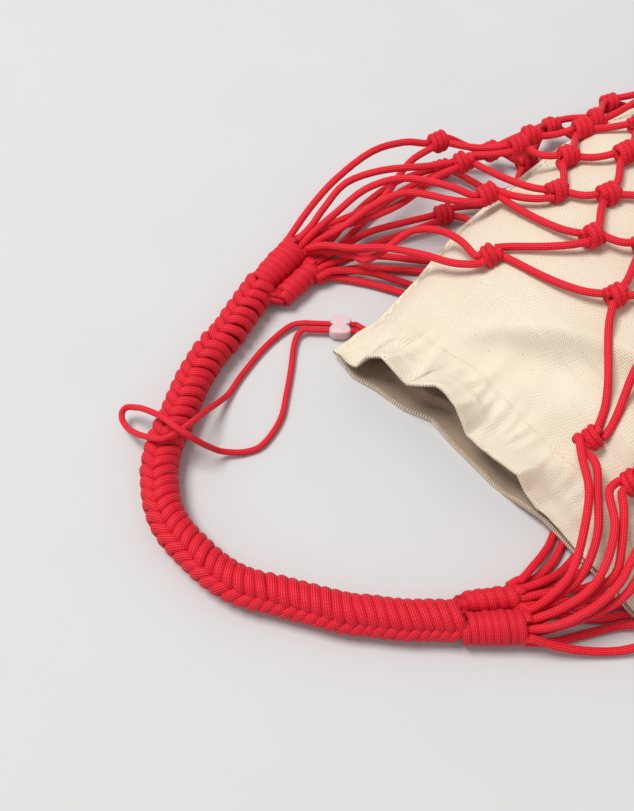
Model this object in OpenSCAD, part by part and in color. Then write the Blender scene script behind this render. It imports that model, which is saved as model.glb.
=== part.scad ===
// Knotted cord net bag with a gathered canvas pouch inside it.
// The bag lies on its side: +X runs from the mouth to the bottom, +Y to the side where the
// pouch is drawn shut, +Z up. The origin is on the flat underside of the pouch's mouth.

/* [Pouch] */
// Width of the pouch between its side seams
pouch_w = 264; // [232:2:300]
// Distance from the origin to the pouch's bottom seam
pouch_reach = 292; // [262:2:330]
// Height of the filled pouch above its side seams
pouch_crown = 36; // [28:1:44]
// Thickness of the canvas
canvas_t = 1.2; // [0.8:0.1:1.6]
// Thickness of the casing strips
casing_t = 0.8; // [0.5:0.1:1.1]
// Width of the stitched seam flange
seam_flange = 4.5; // [3.5:0.25:6]
// Diameter of the sewing thread
thread_d = 0.9; // [0.6:0.1:1.2]
// Distance between two stitches
stitch_pitch = 12; // [9:1:16]

/* [Drawstring] */
// Diameter of the drawstring
drawstring_d = 3.2; // [2.6:0.1:3.6]
// Distance between the two strands in the cord lock
strand_gap = 4.2; // [3.9:0.1:4.8]
// Length of the cord lock along the drawstring
lock_l = 12; // [9:0.5:13]
// Width of the cord lock across the two strands
lock_w = 12.6; // [11.8:0.2:14]
// Height of the cord lock
lock_h = 7; // [6:0.25:8]
// Depth of the pinched waist on each end of the lock
lock_waist = 1.2; // [0.6:0.1:1.8]
// Running clearance of a strand in the lock
lock_clearance = 0.1; // [0.05:0.01:0.1]
// How far the lock slides along the drawstring
lock_travel = 10; // [6:1:12]

/* [Net] */
// Diameter of the net cord
cord_d = 4; // [3:0.1:4.4]
// Distance along the cloth between two knots of a row
column_pitch = 37; // [33:0.5:40]
// Diameter of a net knot
knot_d = 12; // [10:0.2:13]
// Length of a net knot along the bag
knot_l = 10; // [8.5:0.25:12]
// Diameter of a closing knot of four cords
closing_knot_d = 14; // [12:0.5:16]
// How far from a knot's middle its cords start
cord_start = 3.8; // [3.4:0.1:4.6]

/* [Handle] */
// Outside diameter of the knotted handle
handle_d = 18.6; // [17:0.2:20]
// Diameter of the bundle of filler cords in the handle
core_d = 8.6; // [7:0.2:9.4]
// Number of half knots along the handle
half_knots = 52; // [48:2:64]
// Depth of the groove between two half knots
sinnet_groove = 1.4; // [0.6:0.1:1.8]
// Diameter of the cords squeezed together inside a wrap
bundle_d = 8.4; // [7:0.2:8.6]
// Play between a wrap or the sinnet and the cords inside it
wrap_play = 0.05; // [0.02:0.01:0.1]

/* [Hidden] */
fit_gap = 0.3;              // soft pieces lie this far apart
cord_sides = 8;             // facets round a cord
handle_sides = 10;          // facets round the handle
half_w = pouch_w / 2;
net_lift = knot_d + 0.4;    // the pouch lies on the knots under it
mouth_s = -20;              // station of the hem along the bag
draw_s = -3;                // station of the drawstring along the bag

row_names = ["a", "b", "c", "d", "e", "f", "g", "h", "i", "j", "k"];
last_row = 9;               // the closing row follows it
layers = ["upper", "lower"];
ends = ["left_front", "left_back", "right_front", "right_back"];

red = "#d8182f";
dark_red = "#b01024";
cream = "#efe6d2";

// ---------------------------------------------------------------- small helpers

function mix(a, b, t) = a + (b - a) * t;
function clamp01(t) = max(0, min(1, t));
function smooth(lo, hi, x) = let (t = clamp01((x - lo) / (hi - lo))) t * t * (3 - 2 * t);
function unit(v) = v / norm(v);
function across(t) = unit(cross(t, [0, 0, 1]));
function last(list) = list[len(list) - 1];
function flipped(faces) = [for (f = faces) [for (i = [len(f) - 1 : -1 : 0]) f[i]]];
function halves(quads) = [for (q = quads) each [[q[0], q[1], q[2]], [q[0], q[2], q[3]]]];

// A smooth curve through every control point.
function curve_point(p, i, t) =
    let (n = len(p), a = p[max(i - 1, 0)], b = p[i], c = p[i + 1], d = p[min(i + 2, n - 1)])
    0.5 * (2 * b + (c - a) * t + (2 * a - 5 * b + 4 * c - d) * t * t
           + (3 * b - a - 3 * c + d) * t * t * t);
function curve(p, steps) =
    [for (i = [0 : len(p) - 2], k = [0 : steps - 1]) curve_point(p, i, k / steps), last(p)];
function tangent(path, i) = unit(path[min(i + 1, len(path) - 1)] - path[max(i - 1, 0)]);
// The distance along a path to each of its points.
function distances(path) =
    [for (i = 0, d = 0; i < len(path);
          d = d + (i < len(path) - 1 ? norm(path[i + 1] - path[i]) : 0), i = i + 1) d];
function at_distance(path, along, d) =
    let (i = max([for (k = [0 : len(path) - 2]) along[k] <= d ? k : 0]),
         t = clamp01((d - along[i]) / (along[i + 1] - along[i])))
    mix(path[i], path[i + 1], t);
// The same path with points at even distances.
function evenly(path, count) =
    let (along = distances(path))
    [for (k = [0 : count]) at_distance(path, along, last(along) * k / count)];

// The rings of a tube that follows a path, with one radius for each ring.
function rings(path, radii, sides) =
    [for (i = [0 : len(path) - 1])
        let (t = tangent(path, i), s = across(t), u = cross(s, t))
        for (k = [0 : sides - 1])
            path[i] + radii[i] * (s * cos(360 * k / sides) + u * sin(360 * k / sides))];
function skin(count, sides, from) =
    [for (i = [0 : count - 2], k = [0 : sides - 1])
        let (a = from + i * sides + k, b = from + i * sides + (k + 1) % sides)
        [a, b, b + sides, a + sides]];

// A cord or a bundle that follows a path.
module tube(path, d, sides = cord_sides) {
    n = len(path);
    cap = [for (k = [0 : sides - 1]) k];
    polyhedron(
        rings(path, [for (p = path) d / 2], sides),
        concat(halves(skin(n, sides, 0)), flipped([cap]), [[for (k = cap) k + (n - 1) * sides]]));
}

// The same with a round hole along it.
module sleeve(path, radii, hole_path, hole_d, sides) {
    n = len(path);
    m = len(hole_path);
    inner = n * sides;
    function next(k) = (k + 1) % sides;
    start = [for (k = [0 : sides - 1]) [k, inner + k, inner + next(k), next(k)]];
    end_o = (n - 1) * sides;
    end_i = inner + (m - 1) * sides;
    end = [for (k = [0 : sides - 1]) [end_o + next(k), end_i + next(k), end_i + k, end_o + k]];
    polyhedron(
        concat(rings(path, radii, sides),
               rings(hole_path, [for (p = hole_path) hole_d / 2], sides)),
        halves(concat(skin(n, sides, 0), flipped(skin(m, sides, inner)), start, end)));
}

// Puts a piece drawn along Z on the line from one point to another.
module along(a, b) {
    v = b - a;
    translate(a) rotate([0, acos(v[2] / norm(v)), atan2(v[1], v[0])]) children();
}

// A straight cord from one point to another.
module rod(a, b, d) {
    along(a, b) cylinder(d = d, h = norm(b - a), $fn = 32);
}

// ---------------------------------------------------------------- the pouch's shape

// Where the hem lies, for each place across the bag: [y, x].
hem_line = [[-133, 7], [-103, 2], [-70, -4], [-40, -14], [-10, -20], [4, -22], [16, -31],
            [33, -38], [46, -45], [62, -48]];
// Height of the front hem, which stands in folds, for each place across the bag: [y, z].
hem_rise = [[-133, 10], [-80, 10.5], [-60, 11.5], [-45, 14], [-33, 18], [-20, 20], [-8, 26],
            [0, 28], [8, 25], [18, 19], [28, 17], [38, 19], [46, 12], [52, 9.5], [62, 9]];
// How far the drawn cord pulls the far seam in from the full width: [station, inset].
far_inset = [[-20, 70], [-10, 68], [0, 66], [22, 54], [49, 36], [100, 19], [130, 10],
             [170, 4], [230, 2], [pouch_reach, 10]];
near_inset = [[-20, 0], [230, 0], [270, 2], [pouch_reach, 10]];
// Height of the side seams, and of the crown above them, along the bag.
seam_rise = [[-20, 5.8], [5, 6.4], [34, 15.5], [60, 18], [260, 18], [pouch_reach, 17]];
crown_rise = [[-20, 19], [-5, 19], [10, 20], [25, 24], [44, 31], [70, pouch_crown],
              [80, pouch_crown + 1], [pouch_reach - 50, pouch_crown - 1],
              [pouch_reach - 22, 24], [pouch_reach - 10, 13], [pouch_reach - 4, 0]];
stations = [mouth_s, -16, -11, -6, 0, 5, 9, 18, 32, 50, 75, 110, 160, 210,
            pouch_reach - 42, pouch_reach - 24, pouch_reach - 10, pouch_reach - 4, pouch_reach];
casing_i = [1, 6];          // the stations between which the casing strips lie
across_steps = 22;
flange_v = seam_flange / pouch_w;
spread = [0, for (j = [0 : across_steps])
             mix(flange_v, 1 - flange_v, (1 - cos(180 * j / across_steps)) / 2), 1];
casing_j = [6, across_steps - 5];

function far_y(s) = half_w - lookup(s, far_inset);
function near_y(s) = lookup(s, near_inset) - half_w;
function seam_z(s) = lookup(s, seam_rise);
function hem_fade(s) = 1 - smooth(mouth_s, 60, s);
function hem_shift(v) =
    lookup(mix(far_y(mouth_s), near_y(mouth_s), v), hem_line) - mouth_s;
function plan(s, v) = [s + hem_shift(v) * hem_fade(s), mix(far_y(s), near_y(s), v)];
function off_centre(v) = abs(2 * v - 1);
function dome(v) = let (q = min(1, off_centre(v) / (1 - 2 * flange_v))) pow(max(0, 1 - q * q * q), 0.6);
// The far seam is left open where the drawstring comes out.
function slit(s, v) =
    (drawstring_d / 2 + 0.25) * (1 - smooth(3, 8, abs(s - draw_s))) * (1 - smooth(0.02, 0.1, v));

function front_z(s, v) =
    let (seam = seam_z(s) + canvas_t + fit_gap / 2,
         lip = max(lookup(plan(s, v)[1], hem_rise), seam))
    mix(lip, seam + lookup(s, crown_rise) * dome(v), smooth(mouth_s, 4, s)) + slit(s, v);
// The back panel lies on the ground at the mouth, over the leaders beside it, and on the net.
function back_z(s, v) =
    let (p = plan(s, v),
         on_leaders = (cord_d + 0.6) * smooth(44, 58, abs(p[1])) * smooth(-14, -2, p[0]),
         on_net = net_lift * smooth(14, 30, max(s, p[0])),
         seam = seam_z(s) - canvas_t - fit_gap / 2,
         to_side = smooth(0.84, 1 - 2 * flange_v, off_centre(v)),
         to_end = smooth(pouch_reach - 30, pouch_reach - 4, s))
    mix(max(on_leaders, on_net), seam, max(to_side, to_end)) - slit(s, v);

function front_point(s, v) = [each plan(s, v), front_z(s, v)];
function back_point(s, v) = [each plan(s, v), back_z(s, v)];
front_grid = [for (s = stations) [for (v = spread) front_point(s, v)]];
back_grid = [for (s = stations) [for (v = spread) back_point(s, v)]];

// The upward normal of a grid of points.
function grid_normal(g, i, j) =
    let (a = g[min(i + 1, len(g) - 1)][j] - g[max(i - 1, 0)][j],
         b = g[i][max(j - 1, 0)] - g[i][min(j + 1, len(g[0]) - 1)])
    unit(cross(a, b));
// The grid moved up by t (down when t is negative), with level flanges.
function moved(g, t, rise = [for (s = stations) 0]) =
    [for (i = [0 : len(g) - 1]) [for (j = [0 : len(g[0]) - 1])
        let (n = grid_normal(g, i, j),
             level = j < 2 || j > len(g[0]) - 3 || i > len(g) - 3,
             m = level ? [0, 0, 1] : n)
        g[i][j] + (t + sign(t) * rise[i]) * (m + [0, 0, 1]) / (1 + m[2])]];
function block(g, i, j) = [for (a = [i[0] : i[1]]) [for (b = [j[0] : j[1]]) g[a][b]]];

// A closed sheet between two grids of points. Its top faces are cut along one diagonal and its
// bottom faces along the other. A sheet that lies against another one is turned, so they match.
module sheet(top, bottom, turned = false) {
    ni = len(top);
    nj = len(top[0]);
    half = ni * nj;
    function at(i, j, low) = (low ? half : 0) + i * nj + j;
    points = concat([for (row = top) each row], [for (row = bottom) each row]);
    upper = [for (i = [0 : ni - 2], j = [0 : nj - 2])
        turned ? [at(i + 1, j, false), at(i + 1, j + 1, false), at(i, j + 1, false), at(i, j, false)]
        : [at(i, j, false), at(i + 1, j, false), at(i + 1, j + 1, false), at(i, j + 1, false)]];
    lower = flipped([for (f = upper) [for (i = f) i + half]]);
    rim = concat(
        [for (j = [0 : nj - 2])
            each [[at(0, j, false), at(0, j + 1, false), at(0, j + 1, true), at(0, j, true)],
                  [at(ni - 1, j + 1, false), at(ni - 1, j, false), at(ni - 1, j, true),
                   at(ni - 1, j + 1, true)]]],
        [for (i = [0 : ni - 2])
            each [[at(i + 1, 0, false), at(i, 0, false), at(i, 0, true), at(i + 1, 0, true)],
                  [at(i, nj - 1, false), at(i + 1, nj - 1, false), at(i + 1, nj - 1, true),
                   at(i, nj - 1, true)]]]);
    polyhedron(points, halves(concat(upper, lower, rim)));
}

module pouch_front_panel() {
    color(cream) sheet(front_grid, moved(front_grid, -canvas_t));
}

module pouch_back_panel() {
    color(cream) sheet(moved(back_grid, canvas_t), back_grid);
}

// How far a casing strip stands off its panel: it makes room for the drawstring.
casing_play = 1.3;
casing_room = [for (s = stations)
    fit_gap + (drawstring_d + casing_play) * (1 - smooth(3, 7.5, abs(s - draw_s)))];

module pouch_front_casing() {
    color(cream) sheet(
        block(moved(front_grid, -canvas_t, casing_room), casing_i, casing_j),
        block(moved(front_grid, -canvas_t - casing_t, casing_room), casing_i, casing_j),
        turned = true);
}

module pouch_back_casing() {
    color(cream) sheet(
        block(moved(back_grid, canvas_t + casing_t, casing_room), casing_i, casing_j),
        block(moved(back_grid, canvas_t, casing_room), casing_i, casing_j),
        turned = true);
}

// Every stitch passes through both flanges.
module stitch(s, v) {
    rod(back_point(s, v) - [0, 0, 0.4], front_point(s, v) + [0, 0, 0.4], thread_d);
}

module seam_stitches() {
    color(cream) {
        for (s = [-18 : stitch_pitch : pouch_reach - 12]) {
            if (abs(s - draw_s) > 8) stitch(s, flange_v / 2);
            stitch(s, 1 - flange_v / 2);
        }
        count = floor((pouch_w - 40) / stitch_pitch);
        for (k = [0 : count]) stitch(pouch_reach - 2, mix(0.07, 0.93, k / count));
    }
}

// ---------------------------------------------------------------- drawstring and cord lock

pouch_corner_y = far_y(draw_s);
lock_at = [-36.7, pouch_corner_y + 9.7, lock_h / 2 + 0.3];
lock_dir = unit([-0.87, 0.49, 0]);
lock_side = [lock_dir[1], -lock_dir[0], 0];
strand_a = lock_at + lock_side * strand_gap / 2;
strand_b = lock_at - lock_side * strand_gap / 2;
strand_from = -lock_l / 2 - 1.5;
strand_to = lock_l / 2 + lock_travel + 1.5;

// The drawstring runs between a panel and its casing strip, close to the panel.
in_tunnel = canvas_t + fit_gap + drawstring_d / 2 + 0.1;
function in_front(v) = front_point(draw_s, v) - front_normal(draw_s, v) * in_tunnel;
function in_back(v) = back_point(draw_s, v) + [0, 0, in_tunnel];
exit_z = seam_z(draw_s);
exit_a = [each plan(draw_s + 1.7, 0), exit_z];
exit_b = [each plan(draw_s - 1.7, 0), exit_z];

in_casing_path = concat(
    [strand_a + lock_dir * strand_from, exit_a + [-1.4, 2.6, -1.2], exit_a + [0, -1, 0],
     exit_a + [0, -5, 0.3]],
    [for (v = [0.12 : 0.095 : 0.89]) in_front(v)],
    [mix(in_front(0.95), in_back(0.95), 0.5)],
    [for (v = [0.88 : -0.095 : 0.12]) in_back(v)],
    [exit_b + [0, -5, -0.3], exit_b + [0, -1, 0], exit_b + [-0.2, 1.8, -0.9],
     strand_b + lock_dir * strand_from]);

// The same cord goes on as another piece, so each end of a path is straight for a moment.
function straight_ends(path, a, b) =
    let (inner = [for (i = [1 : len(path) - 2]) path[i]])
    concat([path[0]], curve(concat([path[0] + a], inner, [last(path) + b]), 2), [last(path)]);

module drawstring_in_casing() {
    color(red) tube(straight_ends(in_casing_path, -lock_dir, -lock_dir), drawstring_d);
}

module drawstring_strands() {
    color(red) for (p = [strand_a, strand_b])
        rod(p + lock_dir * strand_from, p + lock_dir * strand_to, drawstring_d);
}

// The free part lies in a loop that crosses over the handle. Near the lock it follows the lock.
function with_lock(p) = p + [0, (pouch_corner_y - 65) * smooth(-110, -60, p[0]), 0];
loop_route = concat([strand_a + lock_dir * strand_to], [for (p = [
    [-55, 87, 3.2], [-64, 87.5, 2.2], [-80, 82, 1.7],
    [-97, 72, 1.7],
    [-108, 64, 3], [-122.5, 55, 12], [-133, 47.6, 19.8], [-141.5, 44.4, 21.4], [-149, 44, 21.4],
    [-152.4, 45.4, 21.2], [-156, 50, 18.7], [-159.3, 57, 13.6], [-161.6, 65, 8.4],
    [-162.2, 72, 7], [-160.6, 75.8, 8], [-157.7, 76, 10], [-154.5, 72, 13.4],
    [-152, 67.5, 17], [-148.5, 59.5, 22], [-145.3, 51.7, 25], [-142.2, 44.3, 25.4],
    [-138.6, 39.2, 23.4], [-134.4, 36.1, 18], [-129.5, 34.7, 11], [-124.3, 33.5, 5],
    [-114, 30, 1.8], [-104, 30, 1.7], [-90, 39, 1.7], [-80, 52, 1.7], [-70, 65, 1.8],
    [-60, 79, 2.6], [-56, 81.5, 3.3]]) with_lock(p)], [strand_b + lock_dir * strand_to]);

module drawstring_loop() {
    color(red) tube(straight_ends(loop_route, lock_dir, lock_dir), drawstring_d);
}

// Two lobes with a pinched waist, and one bore for each strand.
module cord_lock() {
    lobe = lock_w / 2;
    color("#e8a0a6") translate(lock_at)
        rotate([0, 0, atan2(lock_dir[1], lock_dir[0])])
            difference() {
                translate([0, 0, -lock_h / 2]) linear_extrude(lock_h) difference() {
                    intersection() {
                        union() for (m = [-1, 1])
                            translate([0, m * (lock_w - lobe) / 2]) circle(d = lock_l, $fn = 48);
                        square([lock_l, lock_w], center = true);
                    }
                    for (m = [-1, 1])
                        translate([m * (lock_l / 2 + 2), 0]) circle(r = 2 + lock_waist, $fn = 32);
                }
                for (m = [-1, 1])
                    translate([0, m * strand_gap / 2, 0]) rotate([0, 90, 0])
                        cylinder(d = drawstring_d + 2 * lock_clearance, h = 2 * lock_l,
                                 center = true, $fn = 40);
            }
}

// ---------------------------------------------------------------- handle

handle_z = handle_d / 2 + 0.1;
handle_route = [for (p = [
    [-69, 112], [-77, 106.5], [-85, 101], [-94, 94.5], [-105, 89], [-113, 83], [-121, 76.5],
    [-128, 69.5], [-134, 63], [-141, 56], [-147.5, 50], [-152.6, 43], [-157, 36], [-160, 28],
    [-162.5, 20], [-163.7, 12], [-163.4, 3], [-161.6, -5], [-156, -22], [-150.5, -32.6],
    [-144, -40.6], [-137, -46.5], [-130, -53], [-123, -59.4], [-116, -66], [-109, -72],
    [-101, -77], [-94, -82], [-86, -87], [-78, -91], [-70, -95.5]]) [each p, handle_z]];
handle_path = curve(handle_route, 4);
handle_coarse = evenly(handle_path, 44);
inner_d = (core_d + 2 * wrap_play) / cos(180 / handle_sides);

module handle_core() {
    color(red) tube(handle_coarse, core_d, handle_sides);
}

// Every half knot is one swelling of the sinnet.
module handle_sinnet() {
    fine = evenly(handle_path, 2 * half_knots);
    radii = [for (i = [0 : 2 * half_knots]) handle_d / 2 - (i % 2 == 0 ? sinnet_groove : 0)];
    color(red) sleeve(fine, radii, handle_coarse, inner_d, handle_sides);
}

// The wraps: where each begins and ends, its two diameters, its number of turns, where its
// cords leave the sinnet, and how far they leave the wrap to one side.
left_end = handle_route[0];
right_end = last(handle_route);
left_dir = unit(handle_route[0] - handle_route[1]);
right_dir = unit(last(handle_route) - handle_route[len(handle_route) - 2]);
split = bundle_d / 2 + 0.2;
wraps = [
    [[-64.6, 117, 8.6], [-36, 130, 9.4], 14.4, 17, 9, left_end - across(left_dir) * split, 0],
    [[-55.5, 105.5, 7], [-32, 115, 7], 12.2, 12.6, 7, left_end + across(left_dir) * split, 1.2],
    [[-65.2, -102, 8.8], [-41, -113.5, 9.2], 15.2, 16.6, 9, right_end + across(right_dir) * split, 0],
    [[-59.5, -90, 7], [-35, -99.5, 7], 10.8, 12, 7, right_end - across(right_dir) * split, 1.2]
];

module wrap(w) {
    length = norm(w[1] - w[0]);
    pitch = length / w[4];
    turn_r = 0.52 * pitch;
    hole = bundle_d / 2 + wrap_play;
    function outer(z) = mix(w[2], w[3], smooth(0, 0.6, z / length)) / 2;
    function under(z) = max(hole + 0.8, outer(z) - turn_r);
    color(red) along(w[0], w[1]) rotate_extrude($fn = 48) intersection() {
        union() {
            polygon(concat([for (z = [0.3, 0.3 * length, 0.6 * length, length - 0.3]) [under(z), z]],
                           [[0, length - 0.3], [0, 0.3]]));
            for (i = [0 : w[4] - 1])
                translate([outer((i + 0.5) * pitch) - turn_r, (i + 0.5) * pitch])
                    circle(r = turn_r * 0.96, $fn = 24);
        }
        translate([hole, 0]) square([handle_d, length]);
    }
}

module bundles_in_wraps() {
    color(dark_red) for (w = wraps) {
        dir = unit(w[1] - w[0]);
        out = w[5][1] > 0 ? left_dir : right_dir;
        start = w[5] + out * 0.1;
        tube([start, start + out * 2.2, w[0] - dir * 1.8, w[1]], bundle_d, handle_sides);
    }
}

// ---------------------------------------------------------------- net

// The station of a point of the plan.
function station_of(x, y, s, n = 10) =
    n == 0 ? s :
    let (v = clamp01((far_y(s) - y) / (far_y(s) - near_y(s))))
    station_of(x, y, x - hem_shift(v) * hem_fade(s), n - 1);
function v_of(s, y) = clamp01((far_y(s) - y) / (far_y(s) - near_y(s)));
function front_normal(s, v) =
    unit(cross(front_point(s + 2, v) - front_point(s - 2, v),
               front_point(s, v - 0.01) - front_point(s, v + 0.01)));
// The middle of a knot that lies on the pouch over the given place.
function on_pouch(x, y, lift) =
    let (s = station_of(x, y, x), v = max(0.02, min(0.98, v_of(s, y))))
    front_point(s, v) + front_normal(s, v) * lift;
knot_lift = knot_d / 2 + fit_gap;
function knot_spot(p) = len(p) == 3 ? p : on_pouch(p[0], p[1], knot_lift);

// The knots of the first rows of the upper layer: a place on the pouch, or a point off it.
upper_a = [[64, 148, 30], [65, 124, 36], [61, 93, 42], [40, 52], [29, -57],
           [28, -85, 42], [28, -110, 35], [32, -133, 24.5]];
upper_b = [[97, 141, 14], [94, 116, 42], [87, 67], [82, 31], [71, -5], [66, -42], [62, -79],
           [63, -112], [66, -142, 14]];
upper_c = [[116, 132, 26], [111, 90], [106, 51], [102, 15], [98, -19], [95, -55], [94, -91],
           [94, -125]];
lower_a = [[68, 148], [52, 117], [54, 86], [46, 55], [42, -56], [40, -88], [40, -114],
           [44, -140]];
// Where each further row lies along the bag: [y, x].
row_x = [[], [[-142, 66], [-80, 62], [-42, 66], [-5, 71], [31, 82], [67, 87], [116, 94]],
         [[-132, 94], [-55, 96], [15, 103], [90, 111], [132, 116]],
         [[-142, 122], [-75, 123], [0, 128], [75, 133], [142, 139]],
         [[-132, 150], [0, 154], [132, 158]],
         [[-142, 176], [0, 178], [142, 182]],
         [[-132, 202], [132, 204]], [[-142, 226], [142, 227]], [[-132, 250], [132, 250]],
         [[-142, 273], [142, 273]], [[-132, 300], [132, 300]]];
// Where a column lies across the top of the pouch, for its distance along the cloth.
over_top = [[0, 0], [column_pitch, column_pitch], [2 * column_pitch, 73], [2.5 * column_pitch, 90],
            [3 * column_pitch, 109], [3.5 * column_pitch, 125]];
side_y = half_w + 10;
side_z = 14;

// The rows past the mouth's share out the length that is left up to the closing knots.
row_from = 120;
function row_at(x) =
    x < row_from ? x : mix(row_from, pouch_reach + 8, (x - row_from) / (last(row_x)[0][1] - row_from));
function is_even(r) = r % 2 == 1;   // rows b, d, f ... have knots on the two sides
function columns(r) = is_even(r) ? [for (c = [4 : -1 : -4]) c] : [for (c = [3.5 : -1 : -3.5]) c];
function upper_knot(r, i) =
    r == 0 ? knot_spot(upper_a[i]) :
    r == 1 ? knot_spot(upper_b[i]) :
    r == 2 ? knot_spot(upper_c[i]) :
    let (c = columns(r)[i], y = sign(c) * lookup(abs(c) * column_pitch, over_top))
    abs(c) == 4 ? [row_at(lookup(sign(c) * side_y, row_x[r])), sign(c) * side_y, side_z]
                : on_pouch(row_at(lookup(y, row_x[r])), y, knot_lift);
// A side knot belongs to both layers.
function lower_knot(r, i) =
    r == 0 ? [each lower_a[i], knot_d / 2] :
    let (c = columns(r)[i], y = c * column_pitch)
    abs(c) == 4 ? upper_knot(r, i) : [row_at(lookup(y, row_x[r])), y, knot_d / 2];
closing_y = [122, 92.5, 55.5, 18.5, -18.5, -55.5, -92.5, -122];
function closing_knot(i) = [pouch_reach + 9, closing_y[i], 17];
function knot_at(layer, r, i) =
    r > last_row ? closing_knot(i) : layer == "upper" ? upper_knot(r, i) : lower_knot(r, i);

// A two-strand overhand knot: two bulging bands round the cords.
module knot_body(d, l) {
    rotate([0, 90, 0]) rotate_extrude($fn = 32) {
        translate([0, -l * 0.36]) square([d / 2 - l * 0.13, l * 0.72]);
        for (m = [-1, 1]) translate([d / 2 - l * 0.26, m * l * 0.24]) circle(r = l * 0.26, $fn = 24);
    }
}

// A knot lies along the cloth, so it pitches with it.
function pitch_of(layer, r, i) =
    layer == "lower" || r > last_row ? 0 :
    let (p = upper_knot(r, i), s = p[0])
    abs(p[1]) > half_w ? 0 : -atan((front_z(s + 4, 0.5) - front_z(s - 4, 0.5)) / 8);

module net_knots(layer, r) {
    count = len(columns(r));
    sides = is_even(r) && layer == "lower" ? [1, count - 2] : [0, count - 1];
    color(red) for (i = [sides[0] : sides[1]])
        translate(knot_at(layer, r, i)) rotate([0, pitch_of(layer, r, i), 0])
            knot_body(knot_d, knot_l);
}

module net_closing_knots() {
    color(red) for (i = [0 : len(closing_y) - 1])
        translate(closing_knot(i)) knot_body(closing_knot_d, knot_l + 2);
}

// The two knots of the next row that a knot's cords lead to.
function next_of(r, i) = is_even(r) ? [i - 1, i] : [i, i + 1];

// The cords of a knot lie side by side where they enter it: beside each other in the cloth,
// or one over the other in a knot on the bag's side, and all four so in a closing knot.
strand_y = cord_d / 2 + 0.6;
function port(r, i, side, layer, end) =
    let (on_side = is_even(r) && (i == 0 || i == len(columns(r)) - 1),
         level = layer == "upper" ? 1 : -1)
    [end * cord_start, on_side ? 0 : side * strand_y,
     on_side || r > last_row ? level * strand_y : 0];

module straight_cord(a, b) {
    rod(a, b, cord_d);
}

// A cord from the mouth row bows over the pouch.
module bowed_cord(a, b) {
    steps = 6;
    tube([for (k = [0 : steps])
            let (p = mix(a, b, k / steps),
                 s = station_of(p[0], p[1], p[0]), v = v_of(s, p[1]),
                 inside = v > 0.01 && v < 0.99 ? 1 : 0,
                 clear = front_z(s, v) + cord_d / 2 + 1.2)
            [p[0], p[1], k == 0 || k == steps ? p[2] : max(p[2], inside * clear)]], cord_d);
}

module net_cords_to(r, on_layers) {
    from = r - 1;
    count = len(columns(from));
    color(red) for (layer = on_layers, i = [0 : count - 1], k = [0, 1]) {
        j = next_of(from, i)[k];
        side = k == 0 ? 1 : -1;
        if (j >= 0 && j < len(columns(r))) {
            a = knot_at(layer, from, i) + port(from, i, side, layer, 1);
            b = knot_at(layer, r, j) + port(r, j, -side, layer, -1);
            if (r == 1 && layer == "upper") bowed_cord(a, b);
            else straight_cord(a, b);
        }
    }
}

// ---------------------------------------------------------------- leaders

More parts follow.
